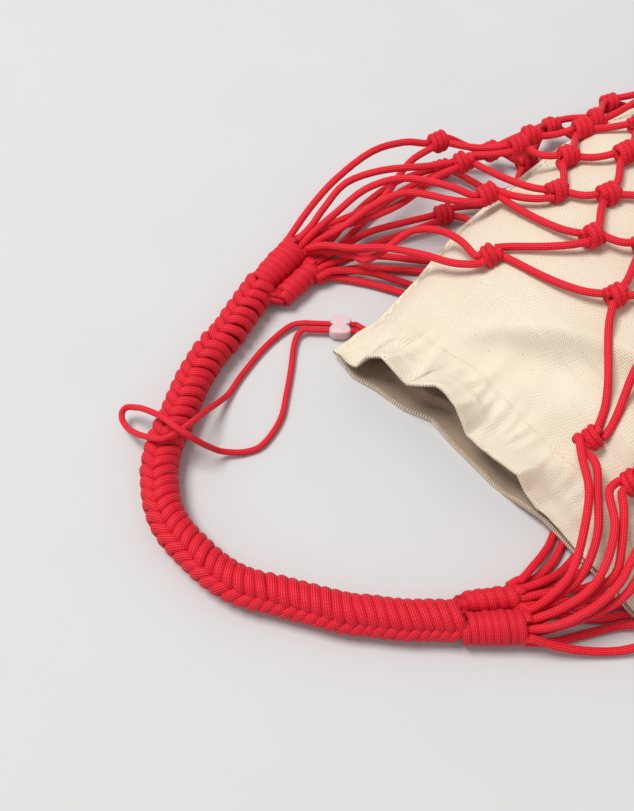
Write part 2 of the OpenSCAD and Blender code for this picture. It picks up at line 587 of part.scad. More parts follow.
// Each leader runs from a wrap to its knot, over the points of its route.
// [wrap, column and row in the wrap's end, layer, knot, side of the knot, route]
leaders = [
    [0, 0, 1, "upper", 0, 1, [[-20, 144, 21], [0, 151, 28], [25, 156, 33], [45, 155, 32]]],
    [0, 0, -1, "upper", 0, -1, [[-22, 137, 11], [-6, 134, 14], [10, 131, 19], [20, 132, 21],
                                [42, 144, 26.5]]],
    [0, 1, 1, "upper", 1, 1, [[-24, 135, 17], [-13, 140, 22], [3, 145, 29], [23, 140, 34],
                              [45, 130, 36]]],
    [0, 1, -1, "upper", 1, -1, [[-24, 131, 12.5], [-11, 126, 19], [8, 119, 26], [25, 117, 31],
                                [44, 121, 35]]],
    [0, 2, 1, "upper", 2, 1, [[-24, 130, 18.5], [-11, 131, 25], [8, 132, 34], [27, 126, 39],
                              [43, 109, 42.5]]],
    [0, 2, -1, "upper", 2, -1, [[-24, 126, 14.5], [-11, 122, 23], [9, 121, 33], [26, 116, 38],
                                [42, 98, 41.5]]],
    [0, 3, 1, "upper", 3, -1, [[-31, 122.6, 15.8], [-24, 117, 20], [-14, 108, 22],
                               [-1, 96, 28], [12, 79, 34], [20, 63, 40], [27, 54.5, 44]]],
    [0, 3, -1, "upper", 3, 1, [[-30, 123.2, 10.4], [-26, 120.3, 13.5], [-14, 110, 15.5],
                               [-9, 100, 17.5], [2, 99, 21], [18, 99, 28], [28, 88, 35],
                               [31, 72, 42]]],
    [1, 0, 1, "lower", 0, 1, [[-29, 121.6, 6.3], [-22, 125, 6.2], [-10, 131, 7.5], [14, 143, 7.5], [40, 151, 6.5]]],
    [1, 0, -1, "lower", 0, -1, [[-27, 120.3, 2.1], [-16, 124, 2.2], [-8, 127, 3], [16, 138, 3], [40, 145, 4]]],
    [1, 1, 1, "lower", 1, 1, [[-22, 119.5, 6.5], [-8, 122, 7], [8, 125, 6], [30, 122, 6]]],
    [1, 1, -1, "lower", 1, -1, [[-22, 117, 2.4], [-6, 117.5, 3], [8, 118, 3], [30, 115.5, 5]]],
    [1, 2, 1, "lower", 2, 1, [[-22, 113.5, 7.5], [-8, 112, 7], [8, 105, 6], [30, 92, 4]]],
    [1, 2, -1, "lower", 2, -1, [[-22, 111.5, 2.4], [-8, 107, 2.4], [8, 98, 2.4], [30, 85.5, 2.6]]],
    [1, 3, 1, "lower", 3, 1, [[-20, 107, 7.5], [-6, 99, 6.5], [8, 87, 3.6], [26, 67, 2.4]]],
    [1, 3, -1, "lower", 3, -1, [[-20, 105, 2.6], [-7, 94, 2.3], [6, 80, 2.2], [24, 60, 2.2]]],
    [2, 0, 1, "upper", 4, 1, [[-27, -109, 20], [-16, -106, 28], [-4, -95, 35], [8, -80, 41],
                              [13, -66, 44.5], [17, -56.5, 46]]],
    [2, 0, -1, "upper", 4, -1, [[-34, -109.2, 9.6], [-28, -109, 14.4],
                                [-13, -109, 24], [2, -98, 32.5],
                                [12, -82, 38.5], [18, -70, 42.5]]],
    [2, 1, 1, "upper", 5, 1, [[-28, -116, 20], [-15, -117, 29], [-4, -112, 36], [8, -100, 41],
                              [14, -86, 43.5]]],
    [2, 1, -1, "upper", 5, -1, [[-27, -115, 13.5], [-14, -117, 21.5], [0, -116, 30],
                                [9, -106, 36.5], [17, -94.5, 40]]],
    [2, 2, 1, "upper", 6, 1, [[-30, -121.5, 18], [-15, -123.5, 26], [-2, -121, 32],
                              [8, -115, 35], [17, -109.5, 35.5]]],
    [2, 2, -1, "upper", 6, -1, [[-29, -120.5, 11.5], [-14, -124.5, 19], [-1, -125.5, 26],
                                [9, -121, 31], [17, -115, 33]]],
    [2, 3, -1, "upper", 7, 1, [[-31, -124, 3.6], [-16, -127, 2.6], [0, -131, 3], [12, -137, 9],
                               [20, -132, 18]]],
    [2, 3, 1, "upper", 7, -1, [[-32, -128, 7.5], [-18, -136, 4], [-4, -142, 4],
                               [10, -144.5, 9.5], [21, -139, 20]]],
    [3, 0, 1, "lower", 4, 1, [[-23, -90, 7.5], [-12, -85, 4.2], [-4, -80, 2.2], [9, -69, 2.2],
                              [27, -54.5, 2.3]]],
    [3, 0, -1, "lower", 4, -1, [[-22, -93.5, 2.6], [-12, -91, 2.2], [-4, -86.5, 2.2],
                                [8, -77, 2.2], [26, -61.5, 2.3]]],
    [3, 1, 1, "lower", 5, 1, [[-22, -98, 8], [-12, -97, 4.5], [-4, -94.5, 2.2], [8, -90, 2.2],
                              [26, -85.5, 2.3]]],
    [3, 1, -1, "lower", 5, -1, [[-23, -99, 2.8], [-12, -101, 2.2], [-3, -101, 2.2],
                                [8, -98, 2.2], [26, -91.5, 2.3]]],
    [3, 2, 1, "lower", 6, 1, [[-24, -103.5, 8.5], [-13, -106, 5.5], [-4, -108, 2.2],
                              [8, -109, 2.2], [27, -111, 2.3]]],
    [3, 2, -1, "lower", 6, -1, [[-25, -104.5, 3], [-14, -110, 2.2], [-4, -114.5, 2.2],
                                [8, -116, 2.2], [27, -117, 2.3]]],
    [3, 3, 1, "lower", 7, 1, [[-31, -105.7, 6.5], [-25, -109.5, 6.4], [-14, -115.5, 6], [-5, -119.5, 3.2],
                              [6, -122.5, 2.2], [18, -129, 2.2], [30, -136, 2.8]]],
    [3, 3, -1, "lower", 7, -1, [[-28, -109.5, 2.8], [-15, -119, 2.4], [-5, -124.5, 2.2],
                                [6, -128, 2.2], [17, -135, 2.2], [30, -142.5, 2.8]]]
];

// The eight cords leave a wrap side by side in two rows, a back wrap's away from the front one.
function place_in(w, column, row) =
    let (dir = unit(w[1] - w[0]), side = -across(dir), back = w[6])
    w[1] + dir * fit_gap + side * ((1.5 - column) * (cord_d + 0.4) - sign(w[0][1]) * back)
        + [0, 0, row * (cord_d / 2 + 0.3) - 0.75 * back];

function leader_path(l) =
    let (w = wraps[l[0]], start = place_in(w, l[1], l[2]), dir = unit(w[1] - w[0]),
         to = knot_at(l[3], 0, l[4]) + [-cord_start, l[5] * strand_y, 0])
    concat([start, start + dir * 1.5], l[6], [to - [4, 0, 0], to]);

module leaders_from(i) {
    color(red) for (l = leaders) if (l[0] == i) tube(leader_path(l), cord_d);
}

// ---------------------------------------------------------------- the pieces by name

pouch_front_panel();
pouch_back_panel();
pouch_front_casing();
pouch_back_casing();
seam_stitches();
drawstring_in_casing();
drawstring_strands();
drawstring_loop();
cord_lock();
handle_core();
handle_sinnet();
bundles_in_wraps();
for (i = [0 : len(ends) - 1]) {
    wrap(wraps[i]);
    leaders_from(i);
}
for (r = [0 : last_row], layer = layers)
    net_knots(layer, r);
net_cords_to(1, ["upper"]);  // net_cords_to_b_upper
net_cords_to(1, ["lower"]);  // net_cords_to_b_lower
for (r = [2 : last_row + 1])
    net_cords_to(r, layers);
net_closing_knots();
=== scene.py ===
"""The looks of a knotted cord net bag with a gathered canvas pouch inside it.

Every size is in millimetres until a mesh is made, and the row frame's metres from then on.
"""

import logging
import math
from dataclasses import dataclass, field
from enum import Enum

import bmesh
import bpy
import numpy as np
from mathutils import Matrix, Vector


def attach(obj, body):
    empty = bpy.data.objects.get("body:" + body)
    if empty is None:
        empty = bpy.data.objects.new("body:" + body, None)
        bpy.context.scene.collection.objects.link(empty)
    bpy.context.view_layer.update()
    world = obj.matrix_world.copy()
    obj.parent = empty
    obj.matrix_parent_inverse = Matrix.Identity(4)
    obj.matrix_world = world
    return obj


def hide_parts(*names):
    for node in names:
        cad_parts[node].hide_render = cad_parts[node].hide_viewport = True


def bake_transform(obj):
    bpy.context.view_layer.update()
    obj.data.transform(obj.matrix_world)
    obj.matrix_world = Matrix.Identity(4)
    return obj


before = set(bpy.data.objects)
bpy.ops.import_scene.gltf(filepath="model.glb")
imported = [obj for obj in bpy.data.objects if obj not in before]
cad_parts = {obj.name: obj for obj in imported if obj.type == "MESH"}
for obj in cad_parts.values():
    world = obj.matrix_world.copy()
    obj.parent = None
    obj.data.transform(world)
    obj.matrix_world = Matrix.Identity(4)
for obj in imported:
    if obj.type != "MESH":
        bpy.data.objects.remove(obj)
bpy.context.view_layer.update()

LOG = logging.getLogger("net_bag")
MM = 0.001
UP = np.array([0.0, 0.0, 1.0])


class Body(str, Enum):
    """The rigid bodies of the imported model."""

    BAG = "bag"
    HANDLE = "handle"
    LOCK = "lock"


class Slot(str, Enum):
    """The material slots of the record."""

    CANVAS = "canvas"
    THREAD = "thread"
    DRAWSTRING = "drawstring"
    NET_CORD = "net_cord"
    HANDLE_CORD = "handle_cord"
    CORD_LOCK = "cord_lock"


# ------------------------------------------------------------------ small helpers


def smooth(low: float, high: float, x):
    """Rises smoothly from 0 at low to 1 at high.

    Args:
        low: Where it starts to rise.
        high: Where it reaches 1.
        x: A number or an array.

    Returns:
        The value, of the shape of x.
    """
    t = np.clip((np.asarray(x, float) - low) / (high - low), 0, 1)
    return t * t * (3 - 2 * t)


def lookup(x, table):
    """Reads a table of (key, value) pairs with straight lines between them."""
    keys, values = zip(*table)
    return np.interp(x, keys, values)


def unit(v) -> np.ndarray:
    """The vectors at length 1."""
    v = np.asarray(v, float)
    return v / np.maximum(np.linalg.norm(v, axis=-1, keepdims=True), 1e-9)


def mix(a, b, t):
    """The blend of a and b."""
    return a + (b - a) * t


def curve(points, steps: int) -> np.ndarray:
    """A smooth curve through every control point.

    Args:
        points: The control points.
        steps: The number of pieces between two of them.

    Returns:
        The points of the curve, one a row.
    """
    p = np.asarray(points, float)
    out = []
    for i in range(len(p) - 1):
        a, b, c, d = p[max(i - 1, 0)], p[i], p[i + 1], p[min(i + 2, len(p) - 1)]
        square, cube = 2 * a - 5 * b + 4 * c - d, 3 * b - a - 3 * c + d
        out += [0.5 * (2 * b + (c - a) * t + square * t**2 + cube * t**3) for t in np.arange(steps) / steps]
    return np.array(out + [p[-1]])


def ring_spots(radius: float, degrees) -> list[tuple[float, float]]:
    """Places on a circle round the origin."""
    return [(radius * math.cos(a), radius * math.sin(a)) for a in np.radians(degrees)]


def upward_normals(grid) -> np.ndarray:
    """The normals of a grid of points, all turned upward."""
    normal = unit(np.cross(np.gradient(grid, axis=1), np.gradient(grid, axis=0)))
    return normal * np.sign(normal[..., 2:3] + 1e-6)


def run(grid, axis: int) -> np.ndarray:
    """The distance along one axis of a grid of points, from 0 at its first row or column."""
    steps = np.linalg.norm(np.diff(grid, axis=axis), axis=-1)
    return np.cumsum(np.insert(steps, 0, 0, axis=axis), axis=axis)


def distances(path) -> np.ndarray:
    """The distance along a path to each of its points."""
    return np.concatenate([[0], np.cumsum(np.linalg.norm(np.diff(path, axis=0), axis=1))])


def interpolate(d, along, rows) -> np.ndarray:
    """Rows of three numbers at the distances d, from the rows known at the distances along."""
    return np.stack([np.interp(d, along, rows[:, k]) for k in range(3)], -1)


def at_distance(path, d) -> np.ndarray:
    """The points of a path at the given distances along it."""
    return interpolate(d, distances(path), path)


def evenly(path, count: int) -> np.ndarray:
    """The same path with count even pieces."""
    return at_distance(path, np.linspace(0, distances(path)[-1], count + 1))


def tangents(path) -> np.ndarray:
    """The direction of a path at each of its points."""
    return unit(np.gradient(np.asarray(path, float), axis=0))


def frames(path) -> tuple[np.ndarray, np.ndarray, np.ndarray]:
    """Tangent, level side and upward normal at each point of a path."""
    t = tangents(path)
    side = unit(np.cross(t, UP))
    return t, side, np.cross(side, t)


# ------------------------------------------------------------------ materials


def linear(code: str) -> tuple[float, float, float, float]:
    """An sRGB hex colour as the linear colour that a shader takes."""
    parts = [int(code[i : i + 2], 16) / 255 for i in (1, 3, 5)]
    return (*[c / 12.92 if c <= 0.04045 else ((c + 0.055) / 1.055) ** 2.4 for c in parts], 1.0)


class Nodes:
    """A node tree that is written as short expressions."""

    def __init__(self, tree) -> None:
        self.tree = tree

    def add(self, kind: str, inputs: dict | None = None, **settings):
        """Adds a node and sets it up.

        Args:
            kind: The node's type name.
            inputs: Values or sockets for its inputs, by name or number.
            **settings: The node's own properties.

        Returns:
            The node.
        """
        node = self.tree.nodes.new(kind)
        for key, value in settings.items():
            setattr(node, key, value)
        for key, value in (inputs or {}).items():
            socket = node.inputs[key]
            if isinstance(value, bpy.types.NodeSocket):
                self.tree.links.new(value, socket)
            else:
                socket.default_value = value
        return node

    def out(self, kind: str, inputs: dict | None = None, **settings):
        """Adds a node and gives its first output."""
        return self.add(kind, inputs, **settings).outputs[0]

    def math(self, operation: str, a, b=0.0):
        """One arithmetic step."""
        return self.out("ShaderNodeMath", {0: a, 1: b}, operation=operation)


class Shading(Nodes):
    """The nodes of a new material."""

    def __init__(self, name: str) -> None:
        self.material = bpy.data.materials.new(name)
        self.material.use_nodes = True
        super().__init__(self.material.node_tree)
        self.tree.nodes.clear()
        self.object_point = self.add("ShaderNodeTexCoord").outputs["Object"]

    def sum(self, *values):
        """The values added up."""
        total = values[0]
        for value in values[1:]:
            total = self.math("ADD", total, value)
        return total

    def times(self, a, b):
        """The product of two values."""
        return self.math("MULTIPLY", a, b)

    def attribute(self, name: str):
        """A number that the mesh carries."""
        return self.add("ShaderNodeAttribute", attribute_name=name).outputs["Fac"]

    def noise(self, scale: float, detail: float):
        """Cloudy noise, from 0 to 1, with scale features in a metre."""
        inputs = {"Vector": self.object_point, "Scale": scale, "Detail": detail}
        return self.out("ShaderNodeTexNoise", inputs)

    def span(self, value, low: float, high: float, to_low: float = 0.0, to_high: float = 1.0):
        """Maps one range onto another and clamps it."""
        names = ("Value", "From Min", "From Max", "To Min", "To Max")
        return self.out("ShaderNodeMapRange", dict(zip(names, (value, low, high, to_low, to_high))))

    def wave(self, x, per_unit: float):
        """The sine of x, with per_unit whole waves in each unit of x."""
        return self.math("SINE", self.times(x, 2 * math.pi * per_unit))

    def hump(self, x):
        """A row of rounded humps from 0 to 1, one in each unit of x."""
        return self.math("ABSOLUTE", self.wave(x, 0.5))

    def round_angle(self):
        """The angle round a cord, in radians."""
        return self.math("ARCTAN2", self.attribute("cord_sine"), self.attribute("cord_cosine"))

    def blend(self, factor, a, b):
        """Mixes two colours, each a socket or a hex code."""
        a, b = (linear(c) if isinstance(c, str) else c for c in (a, b))
        return self.add("ShaderNodeMix", {0: factor, 6: a, 7: b}, data_type="RGBA").outputs[2]

    def bump(self, height, distance: float, strength: float):
        """A bumped normal, from a height and how deep it is in metres."""
        inputs = {"Height": height, "Distance": distance, "Strength": strength}
        return self.out("ShaderNodeBump", inputs)

    def surface(self, **inputs):
        """Ends the material in one principled shader and returns the material."""
        named = {key.replace("_", " "): value for key, value in inputs.items()}
        self.add("ShaderNodeOutputMaterial", {"Surface": self.out("ShaderNodeBsdfPrincipled", named)})
        return self.material


@dataclass(frozen=True)
class BraidFinish:
    """A round braided sheath of fine nylon yarn, with painted shade in its grooves.

    Args:
        name: The material's name.
        colour: The yarn's colour.
        groove_shade: The colour between the yarns.
        glint: The colour of the yarn's lit crowns.
        pitch: Length of one stitch of the braid, in metres.
        ribs: Number of stitch columns round the cord.
        depth: How deep the braid is, in metres.
    """

    name: str
    colour: str
    groove_shade: str
    glint: str
    pitch: float
    ribs: int
    depth: float = 0.00026

    def make(self):
        """Builds the material."""
        s = Shading(self.name)
        along = s.math("DIVIDE", s.attribute("cord_length"), self.pitch)
        around = s.times(s.round_angle(), self.ribs / (2 * math.pi))
        rib = s.hump(around)
        stitch = s.hump(s.sum(along, s.times(rib, 0.7)))
        lump = s.times(rib, s.sum(s.times(stitch, 0.6), 0.4))
        height = s.sum(lump, s.times(s.wave(around, 2.0), 0.06))
        cloud = s.noise(90, 3)
        # Painted shade in the low grooves between the yarns, then a painted highlight on the lit crowns.
        shade = s.blend(s.span(lump, 0.05, 0.45), self.groove_shade, self.colour)
        shade = s.blend(s.span(lump, 0.7, 1.0, 0.0, 0.3), shade, self.glint)
        # Darker at random, towards the same groove colour.
        shade = s.blend(s.span(cloud, 0.4, 0.75, 0.0, 0.12), shade, self.groove_shade)
        return s.surface(
            Base_Color=shade,
            Roughness=s.span(lump, 0, 1, 0.68, 0.46),
            Specular_IOR_Level=0.24,
            Sheen_Weight=0.1,
            Sheen_Roughness=0.4,
            Sheen_Tint=linear(self.glint),
            Normal=s.bump(height, self.depth, 0.85),
        )


@dataclass(frozen=True)
class CanvasFinish:
    """Natural cotton canvas in plain weave, with painted shade between its yarns and on its inner face.

    Args:
        name: The material's name.
        outside: The colour of the outer face.
        inside: The colour of the inner face, darkened as painted shade.
        valley_shade: The colour between the yarns.
        inside_valley_shade: The colour between the yarns of the inner face.
        fleck: The colour of the few seed flecks.
        pitch: Distance between two yarns, in metres.
        depth: How deep the weave is, in metres.
    """

    name: str
    outside: str
    inside: str
    valley_shade: str
    inside_valley_shade: str = "#8d7a68"
    fleck: str = "#6d5334"
    pitch: float = 0.00105
    depth: float = 0.00042

    def make(self):
        """Builds the material."""
        s = Shading(self.name)
        wobble = s.times(s.noise(260, 2), 0.5)
        warp, weft = (
            s.sum(s.math("DIVIDE", s.attribute(name), self.pitch), wobble) for name in ("warp", "weft")
        )
        over = s.times(s.wave(warp, 0.5), s.wave(weft, 0.5))
        crown = s.times(s.hump(warp), s.hump(weft))
        slub = s.noise(34, 4)
        flecks = s.span(s.noise(900, 1), 0.76, 0.80)
        height = s.sum(crown, s.times(over, 0.22), s.times(slub, 0.35))
        # Painted shade in the valleys between the yarns.
        colour = s.blend(s.span(crown, 0.0, 0.5, 0.75, 0.0), self.outside, self.valley_shade)
        # Darker at random where the yarn is slubbed, towards the same valley colour.
        colour = s.blend(s.span(slub, 0.3, 0.75, 0.0, 0.18), colour, self.valley_shade)
        # The inner face is painted darker as shade, with painted shade between its yarns too.
        inner = s.blend(s.span(crown, 0.0, 0.4, 0.5, 0.0), self.inside, self.inside_valley_shade)
        colour = s.blend(s.attribute("inner"), colour, inner)
        colour = s.blend(s.times(flecks, 0.6), colour, self.fleck)
        return s.surface(
            Base_Color=colour,
            Roughness=0.9,
            Specular_IOR_Level=0.12,
            Sheen_Weight=0.15,
            Sheen_Roughness=0.6,
            Normal=s.bump(height, self.depth, 0.9),
        )


@dataclass(frozen=True)
class ThreadFinish:
    """Twisted cotton sewing thread, with so many twists in a metre and painted shade between its plies."""

    name: str
    colour: str
    groove_shade: str
    twists: float = 900

    def make(self):
        """Builds the material."""
        s = Shading(self.name)
        lean = s.times(s.round_angle(), 0.32)
        ply = s.wave(s.sum(s.times(s.attribute("cord_length"), self.twists), lean), 1.0)
        # Painted shade in the low part of each ply's twist.
        colour = s.blend(s.span(ply, -1, 0.4), self.groove_shade, self.colour)
        return s.surface(
            Base_Color=colour, Roughness=0.8, Sheen_Weight=0.2, Normal=s.bump(ply, 0.0001, 0.6)
        )


@dataclass(frozen=True)
class LockFinish:
    """Translucent tinted plastic with paler clouds in it."""

    name: str
    tint: str
    clouds: str = "#fff0f0"

    def make(self):
        """Builds the material."""
        s = Shading(self.name)
        cloud = s.noise(420, 3)
        return s.surface(
            Base_Color=s.blend(s.span(cloud, 0.3, 0.75, 0.0, 0.3), self.tint, self.clouds),
            Roughness=s.span(cloud, 0.2, 0.8, 0.16, 0.3),
            Transmission_Weight=0.22,
            IOR=1.45,
            Subsurface_Weight=0.7,
            Subsurface_Radius=(0.006, 0.002, 0.002),
            Subsurface_Scale=1.0,
            Normal=s.bump(s.noise(1500, 1), 0.00004, 0.3),
        )


Finish = BraidFinish | CanvasFinish | ThreadFinish | LockFinish

NET_FINISH = BraidFinish("net_cord_braid", "#ec122b", "#9c051b", "#ff7f88", pitch=0.0015, ribs=12)
HANDLE_FINISH = BraidFinish("handle_cord_braid", "#e3152d", "#a0061c", "#fb6f7a", pitch=0.0014, ribs=14)
DRAW_FINISH = BraidFinish(
    "drawstring_braid", "#e4132a", "#a0061b", "#ff7b83", pitch=0.0012, ribs=10, depth=0.0002
)
CANVAS_FINISH = CanvasFinish("canvas_weave", "#fbf4e2", "#b9a18b", "#d9c6a2")
THREAD_FINISH = ThreadFinish("sewing_thread", "#fff6e6", "#eadcc2")
LOCK_FINISH = LockFinish("lock_plastic", "#ffccd2")


# ------------------------------------------------------------------ meshes


@dataclass
class Strand:
    """One cord on its route.

    Args:
        path: The points that it follows, in millimetres.
        facing: The outward direction at each point, for a cord that lies flattened.
    """

    path: np.ndarray
    facing: np.ndarray | None = None


def new_object(name: str, mesh):
    """Puts a mesh in the scene as an object at the origin."""
    thing = bpy.data.objects.new(name, mesh)
    bpy.context.scene.collection.objects.link(thing)
    return thing


def mesh_from(name: str, points, faces, edges=()):
    """A mesh from points in millimetres."""
    mesh = bpy.data.meshes.new(name)
    lists = [[list(item) for item in items] for items in (edges, faces)]
    mesh.from_pydata((np.asarray(points, float) * MM).tolist(), *lists)
    mesh.update()
    return mesh


def store(mesh, name: str, values, kind: str = "FLOAT") -> None:
    """Stores one value for each vertex."""
    data = mesh.attributes.new(name, kind, "POINT").data
    flat = np.asarray(values, np.float32).ravel()
    data.foreach_set("value" if kind == "FLOAT" else "vector", flat)


def smooth_faces(mesh) -> None:
    """Shades the whole mesh smooth."""
    mesh.polygons.foreach_set("use_smooth", [True] * len(mesh.polygons))


class Group(Nodes):
    """A geometry node group with named inputs, whose result becomes a plain mesh."""

    def __init__(self, name: str, **kinds: str) -> None:
        super().__init__(bpy.data.node_groups.new(name, "GeometryNodeTree"))
        face = self.tree.interface
        face.new_socket("Geometry", in_out="INPUT", socket_type="NodeSocketGeometry")
        for key, kind in kinds.items():
            face.new_socket(key, in_out="INPUT", socket_type="NodeSocket" + kind)
        face.new_socket("Geometry", in_out="OUTPUT", socket_type="NodeSocketGeometry")
        self.inputs = self.add("NodeGroupInput").outputs

    def named(self, name: str, kind: str = "FLOAT_VECTOR"):
        """An attribute of the geometry."""
        return self.out("GeometryNodeInputNamedAttribute", {"Name": name}, data_type=kind)

    def stored(self, geometry, name: str, value):
        """The geometry with one more number on each of its points."""
        inputs = {"Geometry": geometry, "Name": name, "Value": value}
        return self.out("GeometryNodeStoreNamedAttribute", inputs, data_type="FLOAT", domain="POINT")

    def end(self, geometry) -> None:
        """Realizes, shades smooth and paints the result."""
        for kind, inputs in (
            ("GeometryNodeRealizeInstances", {}),
            ("GeometryNodeSetShadeSmooth", {}),
            ("GeometryNodeSetMaterial", {"Material": self.inputs["Material"]}),
        ):
            geometry = self.out(kind, {"Geometry": geometry, **inputs})
        self.add("NodeGroupOutput", {"Geometry": geometry})

    def apply(self, name: str, mesh, **values):
        """Runs the group on a mesh.

        Args:
            name: The new object's name.
            mesh: The mesh that goes in.
            **values: The group's inputs.

        Returns:
            A new object with the result as its own plain mesh.
        """
        carrier = new_object(name + "_route", mesh)
        modifier = carrier.modifiers.new(self.tree.name, "NODES")
        modifier.node_group = self.tree
        sockets = {s.name: s.identifier for s in self.tree.interface.items_tree if s.in_out == "INPUT"}
        for key, value in values.items():
            modifier[sockets[key]] = value
        graph = bpy.context.evaluated_depsgraph_get()
        result = bpy.data.meshes.new_from_object(carrier.evaluated_get(graph), depsgraph=graph)
        result.name = name
        bpy.data.objects.remove(carrier)
        return new_object(name, result)


def sweep_group() -> Group:
    """The group that draws a cord along every route of a mesh of edges."""
    group = Group("cord_sweep", Width="Float", Height="Float", Sides="Int", Material="Material")
    lines = group.out("GeometryNodeMeshToCurve", {0: group.inputs["Geometry"]})
    facing = {"Curve": lines, "Normal": group.named("facing")}
    lines = group.out("GeometryNodeSetCurveNormal", facing, mode="FREE")
    length = group.add("GeometryNodeSplineParameter").outputs["Length"]
    lines = group.stored(lines, "cord_length", length)
    shape = {"Resolution": group.inputs["Sides"], "Radius": 1.0}
    ring = group.out("GeometryNodeCurvePrimitiveCircle", shape, mode="RADIUS")
    angle = group.math("MULTIPLY", group.out("GeometryNodeSplineParameter"), 2 * math.pi)
    for name, wave in (("cord_cosine", "COSINE"), ("cord_sine", "SINE")):
        ring = group.stored(ring, name, group.math(wave, angle))
    high, wide = (group.math("MULTIPLY", group.inputs[key], 0.5) for key in ("Height", "Width"))
    size = group.out("ShaderNodeCombineXYZ", {0: high, 1: wide, 2: 1.0})
    ring = group.out("GeometryNodeTransform", {"Geometry": ring, "Scale": size})
    tube = {"Curve": lines, "Profile Curve": ring, "Fill Caps": True}
    group.end(group.out("GeometryNodeCurveToMesh", tube))
    return group


def scatter_group() -> Group:
    """The group that puts a copy of an object on every point of a mesh, turned as the point says."""
    group = Group("placed_copies", Copy="Object", Material="Material")
    copy = group.add("GeometryNodeObjectInfo", {"Object": group.inputs["Copy"], "As Instance": True})
    group.end(group.out("GeometryNodeInstanceOnPoints", {
        "Points": group.inputs["Geometry"],
        "Instance": copy.outputs["Geometry"],
        "Rotation": group.out("FunctionNodeEulerToRotation", {0: group.named("turn")}),
        "Scale": group.named("size"),
    }))
    return group


class Workshop:
    """Makes the pieces: it owns the node groups and the materials."""

    def __init__(self) -> None:
        self.sweep = sweep_group()
        self.scatter = scatter_group()
        finishes = (NET_FINISH, HANDLE_FINISH, DRAW_FINISH, CANVAS_FINISH, THREAD_FINISH, LOCK_FINISH)
        self.materials = {f.name: f.make() for f in finishes}

    def cords(
        self, name: str, strands: list[Strand], finish: Finish, width: float,
        height: float | None = None, sides: int = 14,
    ):
        """Draws cords along their routes.

        Args:
            name: The object's name.
            strands: The cords.
            finish: What they are made of.
            width: Width of a cord, in millimetres.
            height: Height of a flattened cord, in millimetres.
            sides: Facets round a cord.

        Returns:
            The object.
        """
        points, edges, facing = [], [], []
        for strand in strands:
            start = len(points)
            points.extend(strand.path)
            edges.extend((i, i + 1) for i in range(start, len(points) - 1))
            facing.extend(frames(strand.path)[2] if strand.facing is None else strand.facing)
        mesh = mesh_from(name + "_route", points, [], edges)
        store(mesh, "facing", facing, "FLOAT_VECTOR")
        return self.sweep.apply(
            name, mesh, Width=width * MM, Height=(height or width) * MM, Sides=sides,
            Material=self.materials[finish.name],
        )

    def copies(self, name: str, prototype, places, turns, sizes, finish: Finish):
        """Puts a copy of a prototype at each place and joins them into one piece."""
        mesh = mesh_from(name + "_points", places, [])
        store(mesh, "turn", turns, "FLOAT_VECTOR")
        store(mesh, "size", sizes, "FLOAT_VECTOR")
        return self.scatter.apply(name, mesh, Copy=prototype, Material=self.materials[finish.name])

    def painted(self, thing, finish: Finish):
        """Gives a mesh its material."""
        thing.data.materials.clear()
        thing.data.materials.append(self.materials[finish.name])
        return thing


def settle(thing, body: Body, slot: Slot, *nodes: str):
    """Hides the parts that a finished piece stands for and hangs it on the body that it rides on."""
    if nodes:
        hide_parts(*nodes)
    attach(thing, body.value)
    return thing


# ------------------------------------------------------------------ the pouch

SLIT_HEIGHT = 1.85
HALF_SEAM_GAP = 0.15
LEADER_TOP = 4.6
NET_TOP = 12.4
PLEAT_SEED = 11
STITCH_DROP = 1.4
STITCH_RISE = 0.35


